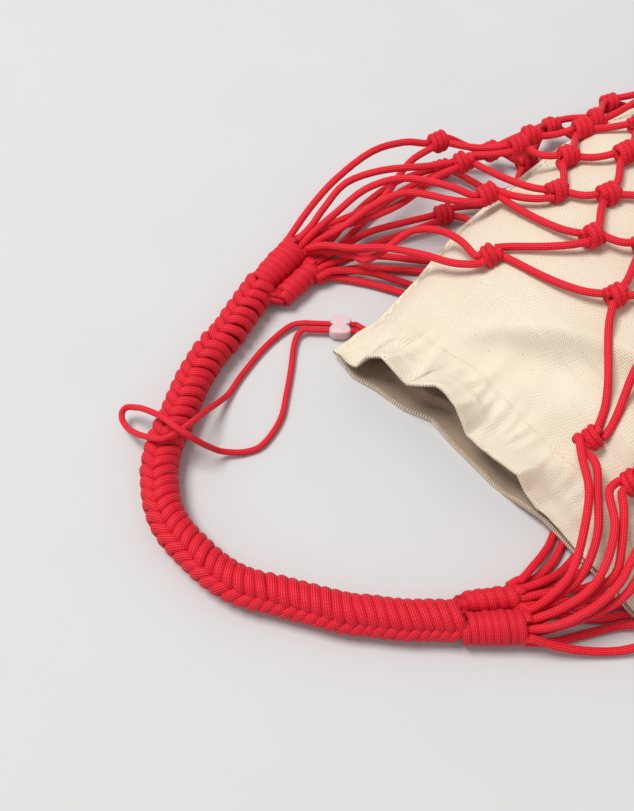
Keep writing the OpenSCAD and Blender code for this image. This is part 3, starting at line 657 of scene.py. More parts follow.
@dataclass
class Pouch:
    """The canvas pouch as it lies, with the sizes of the construction.

    Args:
        width: Distance between the side seams.
        reach: Distance from the origin to the bottom seam.
        canvas: Thickness of the canvas.
        flange: Width of the sewn seam flange.
        gather: Depth of the gathers along the drawstring.
        tunnel: How far the strip that holds the drawstring stands off its panel.
        mouth: The station of the hem, and draw that of the drawstring.
        rows: The number of points along a panel, and columns that across it.
        pleats: The number of gathers.
        stitch_row: How far the row of stitches lies below the drawstring.
        seam_thread: Thickness of the seam's thread, and hem_thread that of the hem's.
        hem_line: Where the hem lies across the mouth, as y and x.
        hem_rise: The height of the front hem, as y and z.
        drawn_in: How far the far side seam is drawn in at a station.
        near_in: The same for the near side seam.
        seam_rise: The height of the seams at a station.
        crown_rise: The height of the filled pouch above its seams at a station.
    """

    width: float = 264.0
    reach: float = 292.0
    canvas: float = 1.2
    flange: float = 4.5
    gather: float = 3.4
    tunnel: float = 4.4
    mouth: float = -20.0
    draw: float = -3.0
    rows: int = 230
    columns: int = 240
    pleats: int = 25
    stitch_row: float = 7.5
    seam_thread: float = 0.7
    hem_thread: float = 0.42
    hem_line: tuple = (
        (-133, 7), (-103, 2), (-70, -4), (-40, -14), (-10, -20), (4, -22), (16, -31), (33, -38), (46, -45),
        (62, -48),
    )
    hem_rise: tuple = (
        (-133, 10), (-80, 10), (-66, 10), (-58, 17), (-52, 26), (-44, 24), (-32, 19), (-20, 20), (-16, 27),
        (-10, 34), (-3, 34), (6, 29), (16, 24), (23, 28), (31, 30), (38, 24), (44, 12), (52, 8), (62, 7),
    )
    drawn_in: tuple = (
        (-20, 70), (-10, 68), (0, 66), (22, 54), (49, 36), (100, 19), (130, 10), (170, 4), (230, 2),
        (292, 10),
    )
    near_in: tuple = ((-20, 0), (230, 0), (270, 2), (292, 10))
    seam_rise: tuple = ((-20, 5.8), (5, 6.4), (34, 15.5), (60, 18), (260, 18), (292, 17))
    crown_rise: tuple = (
        (-20, 19), (-5, 19), (10, 20), (25, 24), (44, 31), (70, 36), (80, 37), (242, 35), (270, 24),
        (282, 13), (288, 0), (292, 0),
    )

    def far_y(self, s):
        """The far side seam."""
        return self.width / 2 - lookup(s, self.drawn_in)

    def near_y(self, s):
        """The near side seam."""
        return lookup(s, self.near_in) - self.width / 2

    def hem_fade(self, s):
        """How much of the hem's slanting line is left at a station."""
        return 1 - smooth(self.mouth, 60, s)

    def hem_shift(self, v):
        """How far the hem lies from its station, for each place across."""
        return lookup(mix(self.far_y(self.mouth), self.near_y(self.mouth), v), self.hem_line) - self.mouth

    def plan(self, s, v):
        """The plan of a place on the pouch, as x and y."""
        return s + self.hem_shift(v) * self.hem_fade(s), mix(self.far_y(s), self.near_y(s), v)

    def dome(self, v):
        """The cross section of the filled pouch, from 0 at a seam to 1."""
        q = np.minimum(1, np.abs(2 * v - 1) / (1 - 2 * self.flange / self.width))
        return np.maximum(0, 1 - q**3) ** 0.6

    def slit(self, s, v):
        """Half the gap in the far seam where the drawstring comes out."""
        return SLIT_HEIGHT * (1 - smooth(3, 8, np.abs(s - self.draw))) * (1 - smooth(0.02, 0.1, v))

    def front(self, s, v) -> np.ndarray:
        """A point of the front panel."""
        x, y = self.plan(s, v)
        seam = lookup(s, self.seam_rise) + self.canvas + HALF_SEAM_GAP
        lip = np.maximum(lookup(y, self.hem_rise), seam)
        filled = seam + lookup(s, self.crown_rise) * self.dome(v)
        z = mix(lip, filled, smooth(self.mouth, 4, s)) + self.slit(s, v)
        return np.stack(np.broadcast_arrays(x, y, z), -1)

    def back(self, s, v) -> np.ndarray:
        """A point of the back panel, which lies on the ground, the leaders and the net."""
        x, y = self.plan(s, v)
        leaders = LEADER_TOP * smooth(44, 58, np.abs(y)) * smooth(-14, -2, x)
        net = NET_TOP * smooth(14, 30, np.maximum(s, x))
        seam = lookup(s, self.seam_rise) - self.canvas - HALF_SEAM_GAP
        side = smooth(0.84, 1 - 2 * self.flange / self.width, np.abs(2 * v - 1))
        end = smooth(self.reach - 30, self.reach - 4, s)
        z = mix(np.maximum(leaders, net), seam, np.maximum(side, end)) - self.slit(s, v)
        return np.stack(np.broadcast_arrays(x, y, z), -1)

    def front_normal(self, s, v) -> np.ndarray:
        """The upward normal of the front panel."""
        along = self.front(s + 2, v) - self.front(s - 2, v)
        return unit(np.cross(along, self.front(s, v - 0.01) - self.front(s, v + 0.01)))

    def across(self, s, y):
        """The place across the pouch of a distance y at a station."""
        return np.clip((self.far_y(s) - y) / (self.far_y(s) - self.near_y(s)), 0, 1)

    def station(self, x, y):
        """The station of a point of the plan."""
        s = np.asarray(x, float)
        for _ in range(10):
            s = x - self.hem_shift(self.across(s, y)) * self.hem_fade(s)
        return s

    def over(self, x: float, y: float, lift: float) -> np.ndarray:
        """A point that stands lift above the front panel."""
        s = self.station(x, y)
        v = np.clip(self.across(s, y), 0.02, 0.98)
        return self.front(s, v) + self.front_normal(s, v) * lift

    def pleat_folds(self, off, v):
        """The random gathers at the drawstring, at a distance off it and a place across."""
        rng = np.random.default_rng(PLEAT_SEED)
        count = self.pleats
        centres = 0.03 + 0.92 * (np.arange(count) + rng.uniform(-0.3, 0.3, count)) / count
        near_far_corner = 0.5 + 0.6 * (1 - smooth(0.2, 0.6, centres))
        heights = rng.uniform(0.5, 1.25, count) * self.gather * near_far_corner * smooth(0.0, 0.12, centres)
        lengths, widths = rng.uniform(9, 34, count), rng.uniform(0.009, 0.016, count)
        leans = rng.uniform(-0.0011, 0.0011, count)
        total = 0.0
        for centre, height, length, width, lean in zip(centres, heights, lengths, widths, leans):
            spread = width * (1 + np.abs(off) / 26)
            fade = np.where(off > 0, np.exp(-np.maximum(off, 0) / length), np.exp(np.minimum(off, 0) / 9))
            total = total + height * np.exp(-(((v - centre - lean * off) / spread) ** 2)) * fade
        return total

    def folds(self, s, v, front: bool) -> np.ndarray:
        """The gathers at the drawstring and the soft folds that run out of them.

        Args:
            s: Stations.
            v: Places across.
            front: Whether it is the front panel.

        Returns:
            How far the cloth stands off its plain shape, in millimetres.
        """
        inner = smooth(0.0, 0.04, v) * smooth(0.0, 0.03, 1 - v)
        off = s - self.draw
        pleats = self.pleat_folds(off, v)
        ripple = 1 + np.sin(2 * np.pi * (6.0 * v + 0.3 * np.sin(5 * v)) + 0.8)
        flutter = 1.4 * (1 - smooth(self.mouth, self.draw - 4, s)) * ripple
        if not front:
            return inner * (0.4 * pleats + 0.3 * flutter) * (1 - smooth(4, 16, s))
        channel = 0.9 * np.exp(-(((np.abs(off) - 6.0) / 2.4) ** 2))
        soft = 1.5 * np.sin(0.045 * s + 9.0 * v + 0.6) * np.sin(0.021 * s - 6.0 * v)
        soft = soft + 0.9 * np.sin(0.09 * s - 15.0 * v + 2.0)
        crease = v - 0.17 - 0.0068 * (s - 4)
        ridge = 5.0 * np.exp(-((crease / 0.045) ** 2)) - 4.5 * np.exp(-(((crease - 0.12) / 0.07) ** 2))
        soft = soft + ridge * smooth(2, 16, s) * (1 - smooth(45, 90, s))
        filled = smooth(6, 30, s) * (1 - smooth(self.reach - 60, self.reach - 20, s))
        return inner * (pleats + channel + flutter + soft * filled)

    def panel(self, shop: Workshop, name: str, front: bool):
        """One panel as a closed sheet of canvas with a rolled hem at the mouth.

        Args:
            shop: The workshop.
            name: The object's name.
            front: Whether it is the front panel.

        Returns:
            The object.
        """
        t, u = np.linspace(0, 1, self.rows), np.linspace(0, 1, self.columns)
        s = mix(self.mouth, self.reach, 0.35 * t + 0.65 * t**1.7)[:, None]
        v = ((1 - np.cos(np.pi * u)) / 2 * 0.25 + 0.75 * u)[None]
        flat = (self.front if front else self.back)(s, v)
        mid = flat + upward_normals(flat) * self.folds(s, v, front)[..., None]
        normal = upward_normals(mid)
        hem = (0.5 * np.exp(-(((s - self.mouth - 1.2) / 1.4) ** 2)))[..., None]
        held = (1 - smooth(3.5, 7, np.abs(s - self.draw))) * smooth(0.1, 0.2, v) * smooth(0.04, 0.12, 1 - v)
        strip = hem * 0.5 + (self.tunnel * held)[..., None]
        outer = mid + normal * hem if front else mid
        inner = mid + normal * (self.canvas + strip) * (-1 if front else 1)
        return self.shell(shop, name, outer, inner, {"warp": run(flat, 0), "weft": run(flat, 1)})

    def shell(self, shop: Workshop, name: str, outer, inner, yarns: dict[str, np.ndarray]):
        """Closes two grids of points into one sheet and stores the cloth's own coordinates."""
        count = self.rows * self.columns
        index = np.arange(count).reshape(self.rows, self.columns)
        quads = np.stack(
            [index[:-1, :-1], index[1:, :-1], index[1:, 1:], index[:-1, 1:]], -1
        ).reshape(-1, 4)
        rim = np.concatenate([index[0, :], index[1:, -1], index[-1, -2::-1], index[-2:0:-1, 0]])
        after = np.roll(rim, -1)
        sides = np.stack([rim, after, after + count, rim + count], -1)
        points = np.concatenate([outer.reshape(-1, 3), inner.reshape(-1, 3)])
        mesh = mesh_from(name, points, np.concatenate([quads, quads[:, ::-1] + count, sides]).tolist())
        for key, values in yarns.items():
            store(mesh, key, np.tile(values.ravel() * MM, 2))
        # Marks the inner face, which the canvas finish paints darker as shade.
        store(mesh, "inner", np.repeat([0.0, 1.0], count))
        smooth_faces(mesh)
        thing = new_object(name, mesh)
        outward(mesh)
        return shop.painted(thing, CANVAS_FINISH)

    def hem_stitches(self, front: bool) -> list[Strand]:
        """The overlock stitches on the hem, and the row of stitches below the drawstring."""
        place = self.front if front else self.back
        hem, row = np.array([1.7, 0.8, -0.1, -0.1]) + self.mouth, np.full(4, self.draw + self.stitch_row)
        hem_lift = (0.3, 0.7, 0.3, -0.9) if front else (1.4, 1.8, 0.9, -0.2)
        row_lift = (-0.8, 0.25, 0.25, -0.8) if front else (0.8, -0.25, -0.25, 0.8)
        out = []
        for places, s, steps, rise in (
            (np.arange(0.012, 0.99, 0.0062), hem, (0.0, 0.0015, 0.003, 0.0045), hem_lift),
            (np.arange(0.03, 0.97, 0.0135), row, (0.0, 0.001, 0.0075, 0.0085), row_lift),
        ):
            for v in places:
                across = v + np.array(steps)
                lift = self.folds(s, across, front) + np.array(rise)
                out.append(Strand(curve(place(s, across) + UP * lift[:, None], 3)))
        return out

    def seam_stitches(self) -> list[Strand]:
        """The run of stitches through both flanges, on the sides and the bottom."""

        def stitch(places) -> Strand:
            lifts = (-STITCH_DROP, STITCH_RISE, STITCH_RISE, -STITCH_DROP)
            return Strand(np.array([self.front(s, v) + UP * lift for (s, v), lift in zip(places, lifts)]))

        edge = self.flange / self.width / 2
        stations = np.arange(self.mouth + 2, self.reach - 12, 4.2)
        out = [
            stitch([(s + d, v) for d in (-1.5, -1.2, 1.2, 1.5)])
            for v in (edge, 1 - edge)
            for s in stations
            if v > 0.5 or abs(s - self.draw) >= 8
        ]
        for v in np.arange(0.07, 0.93, 0.017):
            out.append(stitch([(self.reach - 2, v + d) for d in (-0.006, -0.005, 0.005, 0.006)]))
        return out

    def build(self, shop: Workshop) -> None:
        """Makes the panels and their stitches."""
        sides = (("front", True), ("back", False))
        front, back = (self.panel(shop, "canvas_" + side, is_front) for side, is_front in sides)
        for piece, (side, _) in zip((front, back), sides):
            settle(piece, Body.BAG, Slot.CANVAS, f"pouch_{side}_panel", f"pouch_{side}_casing")
        seam = shop.cords("seam_thread", self.seam_stitches(), THREAD_FINISH, self.seam_thread, sides=6)
        settle(seam, Body.BAG, Slot.THREAD, "seam_stitches")
        hem_front, hem_back = (
            shop.cords(
                "hem_thread_" + side, self.hem_stitches(is_front), THREAD_FINISH, self.hem_thread, sides=6
            )
            for side, is_front in sides
        )
        for hem in (hem_front, hem_back):
            settle(hem, Body.BAG, Slot.THREAD)


def outward(mesh) -> None:
    """Turns every face outward."""
    work = bmesh.new()
    work.from_mesh(mesh)
    bmesh.ops.recalc_face_normals(work, faces=work.faces)
    if work.calc_volume(signed=True) < 0:
        bmesh.ops.reverse_faces(work, faces=work.faces)
    work.to_mesh(mesh)
    work.free()


# ------------------------------------------------------------------ drawstring and lock


@dataclass
class Drawstring:
    """The drawstring and the cord lock on it.

    Args:
        pouch: The pouch that it draws shut.
        diameter: The cord's diameter.
        gap: The distance between the two strands in the lock.
        lock_length: Length of the lock along the strands.
        lock_width: Width of the lock, across both lobes.
        lock_height: Height of the lock.
        waist: How far the lock is cut in between its lobes.
        travel: How far the lock slides.
        lock_x: Where the lock's middle is along the bag.
        lock_off: How far its middle is from the side seam.
        direction: The way the strands run from the pouch.
        loop_points: The route of the free loop.
    """

    pouch: Pouch
    diameter: float = 3.2
    gap: float = 4.2
    lock_length: float = 12.0
    lock_width: float = 12.6
    lock_height: float = 7.0
    waist: float = 2.6
    travel: float = 10.0
    lock_x: float = -36.7
    lock_off: float = 9.7
    direction: tuple = (-0.87, 0.49, 0)
    loop_points: tuple = (
        (-58.5, 88.8, 2.9), (-66.5, 87.4, 2.1), (-80, 82, 1.7), (-97, 72, 1.7), (-108, 64, 3),
        (-122.5, 55, 12), (-133, 47.6, 19.8), (-141.5, 44.4, 21.4), (-149, 44, 21.4), (-152.4, 45.4, 21.2),
        (-156, 50, 18.7), (-159.3, 57, 13.6), (-161.6, 65, 8.4), (-162.2, 72, 7), (-160.6, 75.8, 8),
        (-157.7, 76, 10), (-154.5, 72, 13.4), (-152, 67.5, 17), (-148.5, 59.5, 22), (-145.3, 51.7, 25),
        (-142.2, 44.3, 25.4), (-138.6, 39.2, 23.4), (-134.4, 36.1, 18), (-129.5, 34.7, 11),
        (-124.3, 33.5, 5), (-114, 30, 1.8), (-104, 30, 1.7), (-90, 39, 1.7), (-80, 52, 1.7), (-71, 65, 1.8),
        (-64, 76, 2.2), (-59, 81.6, 2.9),
    )

    def __post_init__(self) -> None:
        beside = self.pouch.far_y(self.pouch.draw) + self.lock_off
        self.at = np.array([self.lock_x, beside, self.lock_height / 2 + 0.3])
        self.dir = unit(self.direction)
        side = np.array([self.dir[1], -self.dir[0], 0])
        self.a = self.at + side * self.gap / 2
        self.b = self.at - side * self.gap / 2
        self.start = -self.lock_length / 2 - 1.5
        self.stop = self.lock_length / 2 + self.travel + 1.5

    def loop_path(self) -> np.ndarray:
        """The free loop, from one strand in the lock to the other."""
        first, last = self.a + self.dir * self.stop, self.b + self.dir * self.stop
        return curve([first, first + self.dir * 2, *self.loop_points, last + self.dir * 1.5, last], 5)

    def casing_path(self) -> np.ndarray:
        """The drawstring's way through both casings."""
        p, s = self.pouch, self.pouch.draw
        tunnel = p.canvas + 2.0
        exit_z = float(lookup(s, p.seam_rise))
        out_a, out_b = (np.array([*map(float, p.plan(s + off, 0.0)), exit_z]) for off in (1.7, -1.7))

        def front(v: float) -> np.ndarray:
            return p.front(s, v) - p.front_normal(s, v) * tunnel

        def back(v: float) -> np.ndarray:
            return p.back(s, v) + UP * tunnel

        start, stop = self.a + self.dir * self.start, self.b + self.dir * self.start
        route = [start, start - self.dir]
        route += [out_a + step for step in ([-1.4, 2.6, -1.2], [0, -1, 0], [0, -5, 0.3])]
        route += [front(v) for v in np.arange(0.12, 0.891, 0.095)] + [(front(0.95) + back(0.95)) / 2]
        route += [back(v) for v in np.arange(0.88, 0.119, -0.095)]
        route += [out_b + step for step in ([0, -5, -0.3], [0, -1, 0], [-0.2, 1.8, -0.9])]
        return curve(route + [stop - self.dir, stop], 4)

    def lock_outline(self, steps: int) -> list[tuple[float, float]]:
        """The outline of the two-lobed lock, seen from above."""
        long, lobe = self.lock_length / 2, self.lock_width / 4
        outline = []
        for k in range(steps):
            angle = 2 * math.pi * k / steps
            y = 2 * lobe * math.sin(angle)
            swell = max(lobe**2 - (abs(y) - lobe) ** 2, 0) ** 0.5 / lobe
            reach = max(long * swell**0.55, (long - self.waist) * (1 - smooth(0.8, 2.6, abs(y))))
            on_axis = abs(math.cos(angle)) <= 1e-6
            outline.append((0.0 if on_axis else math.copysign(float(reach), math.cos(angle)), y))
        return outline

    def lock_shell(self, steps: int = 72, levels: int = 13):
        """The lock's solid body with rounded edges."""
        work = bmesh.new()
        layers = []
        for share in np.linspace(-1, 1, levels):
            lean = share * math.pi / 2
            z = self.lock_height / 2 * math.sin(lean)
            size = 0.74 + 0.26 * math.cos(lean) ** 0.6 if abs(share) < 1 else 0.70
            wide = 0.86 + 0.14 * math.cos(lean)
            ring = [(x * size * MM, y * wide * MM, z * MM) for x, y in self.lock_outline(steps)]
            layers.append([work.verts.new(point) for point in ring])
        for low, high in zip(layers, layers[1:]):
            for k in range(steps):
                after = (k + 1) % steps
                work.faces.new((low[k], low[after], high[after], high[k]))
        work.faces.new(layers[0][::-1])
        work.faces.new(layers[-1])
        bmesh.ops.recalc_face_normals(work, faces=work.faces)
        mesh = bpy.data.meshes.new("lock_body")
        work.to_mesh(mesh)
        work.free()
        return new_object("lock_body", mesh)

    def lock(self, shop: Workshop):
        """The two-lobed lock, with soft edges and a bore for each strand."""
        body = self.lock_shell()
        cutters = []
        for sign in (-1, 1):
            bpy.ops.mesh.primitive_cylinder_add(
                vertices=48, radius=(self.diameter / 2 + 0.1) * MM, depth=0.03,
                rotation=(0, math.pi / 2, 0), location=(0, sign * self.gap / 2 * MM, 0),
            )
            cutters.append(bpy.context.object)
            cut = body.modifiers.new("bore", "BOOLEAN")
            cut.operation, cut.solver, cut.object = "DIFFERENCE", "EXACT", cutters[-1]
        graph = bpy.context.evaluated_depsgraph_get()
        done = bpy.data.meshes.new_from_object(body.evaluated_get(graph), depsgraph=graph)
        for spare in (*cutters, body):
            bpy.data.objects.remove(spare)
        turn = Matrix.Rotation(math.atan2(self.dir[1], self.dir[0]), 4, "Z")
        done.transform(Matrix.Translation(Vector(self.at * MM)) @ turn)
        smooth_faces(done)
        thing = new_object("lock_bead", done)
        outward(done)
        return settle(shop.painted(thing, LOCK_FINISH), Body.LOCK, Slot.CORD_LOCK, "cord_lock")

    def build(self, shop: Workshop) -> None:
        """Makes the free loop first, then the held cord and the lock."""
        path = self.loop_path()
        loop = shop.cords("drawstring_free_loop", [Strand(path)], DRAW_FINISH, self.diameter, sides=16)
        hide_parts("drawstring_loop")
        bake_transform(loop)
        held = [Strand(self.casing_path())]
        for p in (self.a, self.b):
            held.append(Strand(evenly(p + np.outer((self.start, self.stop), self.dir), 14)))
        cord = shop.cords("drawstring_held", held, DRAW_FINISH, self.diameter, sides=16)
        settle(cord, Body.BAG, Slot.DRAWSTRING, "drawstring_in_casing", "drawstring_strands")
        self.lock(shop)


# ------------------------------------------------------------------ handle

KNOT_SEED = 100


@dataclass(frozen=True)
class Wrap:
    """One whipped wrap: its ends, its two diameters, its turns and where its cords come from."""

    name: str
    start: tuple
    stop: tuple
    narrow: float
    wide: float
    turns: int
    shift: float


WRAPS = (
    Wrap("left_front", (-64.6, 117, 8.6), (-36, 130, 9.4), 14.4, 17, 9, 0),
    Wrap("left_back", (-55.5, 105.5, 7), (-32, 115, 7), 12.2, 12.6, 7, 1.2),
    Wrap("right_front", (-65.2, -102, 8.8), (-41, -113.5, 9.2), 15.2, 16.6, 9, 0),
    Wrap("right_back", (-59.5, -90, 7), (-35, -99.5, 7), 10.8, 12, 7, 1.2),
)


@dataclass
class Handle:
    """The knotted handle, its four wraps and the cords inside them.

    Args:
        diameter: Diameter of the knotted part.
        half_knots: The number of half knots.
        bundle: Diameter of a bundle.
        strand: Width and height of a strand of the half knots.
        core_cord: Diameter of a core cord, and core_ring the radius that the four lie on.
        bundled_cord: Diameter of a bundled cord, and bundle_ring the radius that six lie on.
        whip_height: Height of the whipping's cord, and whip_points its points in a turn.
        spine: How far the line of bights creeps round the handle along it, as share and degrees.
        spine_start: Where that line starts, in degrees.
        tightening: How much closer the knots are at the far end.
        angles: The angles of a strand's points round the core, in degrees.
        lags: How far each point lies along the handle, in fifths of a knot.
        depths: How deep each point lies under the handle's surface.
        plan: The middle line of the handle, as x and y.
    """

    diameter: float = 18.6
    half_knots: int = 52
    bundle: float = 8.4
    spine: tuple = ((0, 0), (0.35, -3), (0.5, -14), (0.65, -34), (0.8, -46), (1, -50))
    spine_start: float = 14.0
    tightening: float = 0.17
    strand: tuple = (5.5, 4.4)
    core_cord: float = 3.5
    core_ring: float = 2.45
    bundled_cord: float = 2.8
    bundle_ring: float = 2.75
    whip_height: float = 3.3
    whip_points: int = 26
    angles: tuple = (-60, -46, -32, -16, 2, 22, 44, 66, 86, 102, 114, 124, 136, 148, 160)
    lags: tuple = (2.9, 2.7, 2.3, 1.7, 0.9, 0.1, -0.8, -1.5, -2.0, -2.1, -1.7, -0.8, 0.6, 1.9, 3.0)
    depths: tuple = (6.2, 5.2, 4.0, 2.9, 2.2, 1.95, 1.9, 1.95, 1.9, 1.8, 1.7, 1.75, 2.3, 3.4, 5.0)
    plan: tuple = (
        (-69, 112), (-77, 106.5), (-85, 101), (-94, 94.5), (-105, 89), (-113, 83), (-121, 76.5),
        (-128, 69.5), (-134, 63), (-141, 56), (-147.5, 50), (-152.6, 43), (-157, 36), (-160, 28),
        (-162.5, 20), (-163.7, 12), (-163.4, 3), (-161.6, -5), (-156, -22), (-150.5, -32.6), (-144, -40.6),
        (-137, -46.5), (-130, -53), (-123, -59.4), (-116, -66), (-109, -72), (-101, -77), (-94, -82),
        (-86, -87), (-78, -91), (-70, -95.5),
    )

    def __post_init__(self) -> None:
        self.route = np.array([(*p, self.diameter / 2 + 0.1) for p in self.plan])
        self.path = evenly(curve(self.route, 6), 600)

    def half_knot(self, k: int, turned: float) -> Strand:
        """One of the two strands of a half knot.

        It comes out from under its neighbour at the spine, runs round the inner side as a bar,
        and hooks over the far side into the next spine.

        Args:
            k: The number of the half knot.
            turned: The angle at which it starts round the core, in degrees.

        Returns:
            The strand.
        """
        along = distances(self.path)
        total = along[-1]
        share = (k + 0.5) / self.half_knots
        middle = total * share * (1 + self.tightening * (1 - share))
        pitch = total / self.half_knots * (1 + self.tightening * (1 - 2 * share))
        rng = np.random.default_rng(KNOT_SEED + 2 * k + int(turned > 0))
        base = turned + self.spine_start + float(lookup(share, self.spine)) + rng.uniform(-4, 4)
        lag = np.array(self.lags) * (0.9 + 0.6 * share) + rng.uniform(-0.2, 0.2)
        where = middle + lag * pitch / 5.0
        beyond = (where - np.clip(where, 0, total))[:, None]
        first, last = tangents(self.path)[[0, -1]]
        centre = at_distance(self.path, where) + np.where(beyond < 0, first, last) * beyond
        side, up = (unit(interpolate(where, along, rows)) for rows in frames(self.path)[1:])
        angle = np.radians(base + np.array(self.angles))[:, None]
        out = up * np.cos(angle) - side * np.sin(angle)
        points = centre + out * (self.diameter / 2 - np.array(self.depths))[:, None]
        return Strand(curve(points, 2), unit(curve(out, 2)))

    def wrap_strand(self, w: Wrap) -> Strand:
        """The cord that is whipped round a bundle."""
        start, stop = np.array(w.start), np.array(w.stop)
        length = np.linalg.norm(stop - start)
        axis = (stop - start) / length
        side = unit(np.cross(axis, UP))
        up = np.cross(side, axis)
        t = np.linspace(0, 1, w.turns * self.whip_points + 1)
        z = length * t - 1.2 * (1 - t) + 0.25 * np.sin(9 * t)
        radius = mix(w.narrow, w.wide, smooth(0, 0.6, z / length)) / 2
        radius = radius - self.whip_height / 2 + 0.18 * np.sin(23 * t)
        for from_end in (t, 1 - t):
            radius = radius - 1.2 * (1 - smooth(0, 0.012, from_end))
        angle = (2 * np.pi * (w.turns - 1) * t)[:, None]
        out = up * np.cos(angle) + side * np.sin(angle)
        return Strand(start + axis * z[:, None] + out * radius[:, None], out)

    def bundle_strands(self, w: Wrap) -> list[Strand]:
        """The straight cords inside a wrap, which come out of the knotted part."""
        left = w.start[1] > 0
        end = self.route[0] if left else self.route[-1]
        out = unit(end - (self.route[1] if left else self.route[-2]))
        aside = unit(np.cross(out, UP)) * (self.bundle / 2 + 0.2)
        begin = end + aside * (-1 if w.shift == 0 else 1) * (1 if left else -1)
        start, stop = np.array(w.start), np.array(w.stop)
        axis = unit(stop - start)
        route = [
            begin + out * 0.2, begin + out * 2.2, start - axis * 1.8, start, mix(start, stop, 0.5), stop
        ]
        middle = curve(route, 5)
        _, side, up = frames(middle)
        spots = [(0.0, 0.0)] + ring_spots(self.bundle_ring, np.arange(0, 360, 60) + 15)
        return [Strand(middle + side * x + up * y) for x, y in spots]

    def build(self, shop: Workshop) -> None:
        """Makes the knotted sleeve, the core, the bundles and the wraps."""
        numbers = range(-1, self.half_knots + 1)
        knots = [self.half_knot(k, turned) for k in numbers for turned in (0.0, 180.0)]
        _, side, up = frames(self.path)
        spots = ring_spots(self.core_ring, (45, 135, 225, 315))
        core = [Strand(evenly(self.path + side * x + up * y, 120)) for x, y in spots]
        bundles = [strand for w in WRAPS for strand in self.bundle_strands(w)]
        pieces = [
            ("sinnet_half_knots", "handle_sinnet", knots, *self.strand, 14),
            ("core_cords", "handle_core", core, self.core_cord, None, 10),
            ("wrapped_cords", "bundles_in_wraps", bundles, self.bundled_cord, None, 10),
        ]
        for w in WRAPS:
            pitch = float(np.linalg.norm(np.subtract(w.stop, w.start)) / w.turns)
            whipping = [self.wrap_strand(w)]
            pieces.append(
                ("whipping_" + w.name, "wrap_" + w.name, whipping, pitch * 1.5, self.whip_height, 12)
            )
        for name, node, strands, width, height, sides in pieces:
            piece = shop.cords(name, strands, HANDLE_FINISH, width, height, sides)
            settle(piece, Body.HANDLE, Slot.HANDLE_CORD, node)


# ------------------------------------------------------------------ net


# The first three rows of the upper layer, as x and y on the pouch, or x, y and z off it.
UPPER_ROWS = (
    (
        (64, 148, 30), (65, 124, 36), (61, 93, 42), (40, 52), (29, -57), (28, -85, 42),
        (28, -110, 35), (32, -133, 24.5),
    ),
    (
        (97, 141, 14), (94, 116, 42), (87, 67), (82, 31), (71, -5), (66, -42), (62, -79),
        (63, -112), (66, -142, 14),
    ),
    (
        (116, 132, 26), (111, 90), (106, 51), (102, 15), (98, -19), (95, -55), (94, -91),
        (94, -125),
    ),
)
# The first row of the lower layer, and where each later row lies, as x at a y.
LOWER_A = ((68, 148), (52, 117), (54, 86), (46, 55), (42, -56), (40, -88), (40, -114), (44, -140))
ROW_X = (
    (),
    ((-142, 66), (-80, 62), (-42, 66), (-5, 71), (31, 82), (67, 87), (116, 94)),
    ((-132, 94), (-55, 96), (15, 103), (90, 111), (132, 116)),
    ((-142, 122), (-75, 123), (0, 128), (75, 133), (142, 139)),
    ((-132, 150), (0, 154), (132, 158)),
    ((-142, 176), (0, 178), (142, 182)),
    ((-132, 202), (132, 204)),
    ((-142, 226), (142, 227)),
    ((-132, 250), (132, 250)),
    ((-142, 273), (142, 273)),
)
OVER_TOP = ((0, 0), (37, 37), (74, 73), (92.5, 90), (111, 109), (129.5, 125))
CLOSING_Y = (122, 92.5, 55.5, 18.5, -18.5, -55.5, -92.5, -122)
ROW_NAMES = "abcdefghijk"
LAYERS = ("upper", "lower")
NET_SEED = 7

